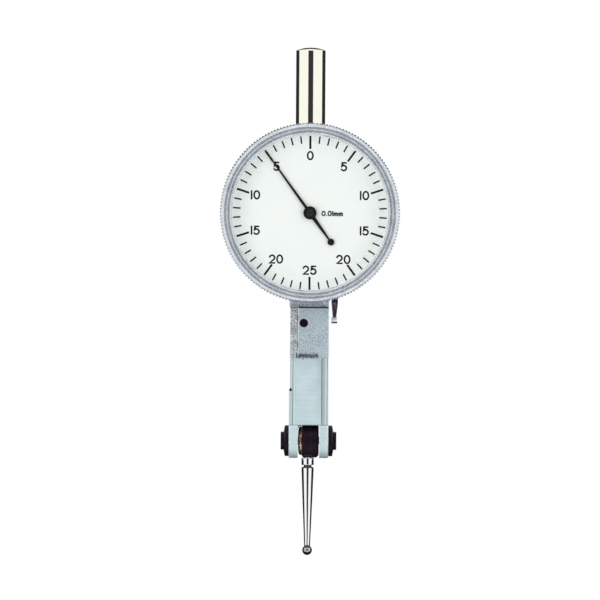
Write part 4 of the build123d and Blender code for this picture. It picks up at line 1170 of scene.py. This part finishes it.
def buildStylus(sizes):
    centre = Vector((middle("stylus").x, 0, pivot.z))
    collarLow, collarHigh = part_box("stylus_collar")
    radius = (collarHigh.x - collarLow.x) / 2
    bottom, top = collarLow.z - pivot.z, collarHigh.z - pivot.z
    bore = sizes["collarBore"] * mm
    collar = [(bore, top), (radius, top), (radius, bottom), (bore, bottom)]
    collar = eased(collar, sizes["collarEdge"] * mm, 3, True)
    turnedPiece("collar_ring", collar, "Z", centre, mirrorStylus, "stylus_collar", closed=True)
    neck, head, bend, end, ball = lengths(sizes, "neck", "head", "headRound", "endRadius", "ball")
    ballZ = -(pivot.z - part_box("contact_ball")[0].z) + ball
    start = -sizes["headStart"] * mm
    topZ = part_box("stylus")[1].z - pivot.z
    shank = [(0, topZ), (sizes["top"] * mm, topZ), (sizes["top"] * mm, bottom), (neck, bottom), (neck, start)]
    drop = bend * sizes["headSquash"]
    shank += arc(head - bend, start - drop, bend, drop, 90, 0, sizes["headSteps"])
    endZ = ballZ + sqrt(ball**2 - end**2)
    shank += [(sizes["breakRadius"] * mm, -sizes["taper"] * mm), (end, endZ), (0, endZ)]
    turnedPiece("stylus_shank", shank, "Z", centre, mirrorStylus, "stylus")
    first = asin((sizes["endRadius"] + sizes["neckGrowth"]) / sizes["ball"])
    overlapZ = endZ + sizes["overlap"] * mm
    outline = [(0, overlapZ), (end, overlapZ)]
    outline += arc(0, ballZ, ball, ball, 90 - degrees(first), -90, sizes["ballSteps"])
    turnedPiece("ball_tip", outline, "Z", centre, mirrorBall, "contact_ball")


buildStylus(stylusSizes)
print("stylus built")


# Inner pieces keep their CAD form and get their metals
paint(brass, "movement_plate", "axle_bracket", "crown_wheel", "sector_gear")
paint(brass, "hairspring_collet", "hairspring_stud")
paint(steel, "movement_plate_screws", "centre_spindle", "axle_bracket_screws", "crown_axle", "sector_rivets")
paint(steel, "stop_pins", "lever_axle", "reversing_shaft", "spring_stud")
paint(blueSteel, "bezel_spring_ring", "hairspring", "reversing_spring")
paint(ruby, "spindle_jewels", "axle_jewels")
print("movement painted")


# Studio: pale floor below the view, white surroundings, black cards that only gloss sees, three soft lamps

stageSizes = dict(
    floorDrop=18.0, floorRadius=220.0, floorDark=(0.84, 0.84, 0.85), floorLight=(0.86, 0.86, 0.87),
    floorRoughness=0.9, fibre=10 / 9, fadeStart=0.55, fadeEnd=0.97, ambient=0.78, lampSize=640,
    lampTarget=-40,
)
deepBlack = (0.008, 0.006, 0.008)
cards = dict(
    frontCard=dict(at=(0, -500, -40), half=(178, 0, 190), colour=(0.038, 0.025, 0.042)),
    rearCard=dict(at=(0, 500, -40), half=(120, 0, 120), colour=(0.03, 0.03, 0.034)),
    stemCard=dict(at=(0, 11, 4.2), half=(60, 0, 12.8), colour=deepBlack),
    stylusCard=dict(at=(0, 7.5, -86.1), half=(45, 0, 14.1), colour=deepBlack),
    stylusLeft=dict(at=(-45, -0.75, -86.1), half=(0, 8.25, 14.1), colour=deepBlack),
    stylusRight=dict(at=(45, -0.75, -86.1), half=(0, 8.25, 14.1), colour=deepBlack),
    underCard=dict(at=(0, 16.5, -101.5), half=(40, 24.5, 0), colour=deepBlack),
)
lamps = dict(
    keyLamp=dict(at=(-560, -760, 60), power=2.9),
    fillLamp=dict(at=(640, -700, -20), power=1.9),
    rearLamp=dict(at=(200, 820, 160), power=2.6),
)


def buildFloor(sizes):
    shape = bmesh.new()
    reach = sizes["floorRadius"] * mm
    bmesh.ops.create_circle(shape, cap_ends=True, radius=reach, segments=128)
    mesh = bpy.data.meshes.new("floor")
    shape.to_mesh(mesh)
    shape.free()
    floor = placed("floor", mesh)
    floor.location = (0, 0, cadBounds[0].z - sizes["floorDrop"] * mm)
    tree = newFinish("floorPaper")
    away = tree.node("ShaderNodeVectorMath", {"operation": "LENGTH"}, {0: tree.place()}, "Value")
    fibre = tree.noise(sizes["fibre"], 3.0, 0.6)
    tree.feed(tree.skin["Base Color"], tree.mix(fibre, sizes["floorDark"], sizes["floorLight"]))
    tree.skin["Roughness"].default_value = sizes["floorRoughness"]
    white = tree.node("ShaderNodeEmission", {}, {"Color": rgba(1, 1, 1), "Strength": 1.0})
    paper = Wire(tree, tree.nodes["Principled BSDF"].outputs[0])
    fade = tree.smooth(away, sizes["fadeStart"] * reach, sizes["fadeEnd"] * reach)
    fading = tree.node("ShaderNodeMixShader", {}, {0: fade, 1: paper, 2: white})
    tree.feed(tree.nodes["Material Output"].inputs["Surface"], fading)
    mesh.materials.append(tree.owner)
    floor.visible_glossy = False


def buildCard(name, card):
    centre, half = Vector(card["at"]) * mm, Vector(card["half"]) * mm
    first, second = (axis for axis in range(3) if half[axis] > 0)
    corners = []
    for across, up in ((1, 1), (-1, 1), (-1, -1), (1, -1)):
        corner = centre.copy()
        corner[first] += across * half[first]
        corner[second] += up * half[second]
        corners.append(corner)
    mesh = bpy.data.meshes.new(name)
    mesh.from_pydata(corners, [], [(0, 1, 2, 3)])
    piece = placed(name, mesh)
    tree = newFinish(name + "Black")
    tree.skin["Base Color"].default_value = rgba(*card["colour"])
    tree.skin["Roughness"].default_value = 1.0
    mesh.materials.append(tree.owner)
    piece.visible_camera = False
    piece.visible_diffuse = False
    piece.visible_shadow = False
    piece.visible_transmission = False


def buildWorld(sizes):
    world = bpy.data.worlds.new("studio")
    bpy.context.scene.world = world
    tree = Tree(world)
    tree.nodes.clear()
    soft = tree.node("ShaderNodeBackground", {}, {"Color": rgba(1, 1, 1), "Strength": sizes["ambient"]})
    rays = tree.nodes.new("ShaderNodeLightPath")
    kinds = ("Is Camera Ray", "Is Glossy Ray", "Is Transmission Ray")
    seen = [Wire(tree, rays.outputs[kind]) for kind in kinds]
    white = tree.node("ShaderNodeBackground", {}, {"Color": rgba(1, 1, 1), "Strength": 1.0})
    both = tree.node("ShaderNodeMixShader", {}, {0: seen[0] + seen[1] + seen[2], 1: soft, 2: white})
    out = tree.nodes.new("ShaderNodeOutputWorld")
    tree.feed(out.inputs["Surface"], both)


def buildLamp(name, lamp, sizes):
    light = bpy.data.lights.new(name, "AREA")
    light.shape = "SQUARE"
    light.size = sizes["lampSize"] * mm
    light.energy = lamp["power"]
    holder = placed(name, light)
    holder.location = Vector(lamp["at"]) * mm
    target = Vector((0, 0, sizes["lampTarget"] * mm))
    holder.rotation_euler = (target - holder.location).to_track_quat("-Z", "Y").to_euler()
    holder.visible_camera = False
    holder.visible_glossy = False


buildFloor(stageSizes)
for cardName, cardValues in cards.items():
    buildCard(cardName, cardValues)
buildWorld(stageSizes)
for lampName, lampValues in lamps.items():
    buildLamp(lampName, lampValues, stageSizes)


# Camera: the photograph's straight view through a long lens, with its small roll

cameraSizes = dict(
    pixelsPerMm=4.883, imagePixels=600, dialPixel=(309.9, 213.2), roll=0.37, lens=600.0, sensor=36.0,
    nearest=0.05, farthest=20,
)


def buildCamera(sizes):
    data = bpy.data.cameras.new("camera")
    data.lens = sizes["lens"]
    data.sensor_width = sizes["sensor"]
    camera = placed("camera", data)
    roll = radians(sizes["roll"])
    right = Vector((cos(roll), 0, sin(roll)))
    up = Vector((-sin(roll), 0, cos(roll)))
    back = Vector((0, -1, 0))
    width = sizes["imagePixels"] / sizes["pixelsPerMm"] * mm
    distance = width * sizes["lens"] / sizes["sensor"]
    half = sizes["imagePixels"] / 2
    dialX, dialY = sizes["dialPixel"]
    offset = (right * (dialX - half) + up * (half - dialY)) / sizes["pixelsPerMm"] * mm
    aim = Vector((0, 0, dialCentre.z)) - offset
    turn = Matrix((right, up, back)).transposed().to_4x4()
    camera.matrix_world = Matrix.Translation(aim + back * distance) @ turn
    data.clip_start = sizes["nearest"]
    data.clip_end = sizes["farthest"]
    bpy.context.scene.camera = camera


buildCamera(cameraSizes)
bpy.context.scene.view_settings.view_transform = "Standard"
print("stage set")
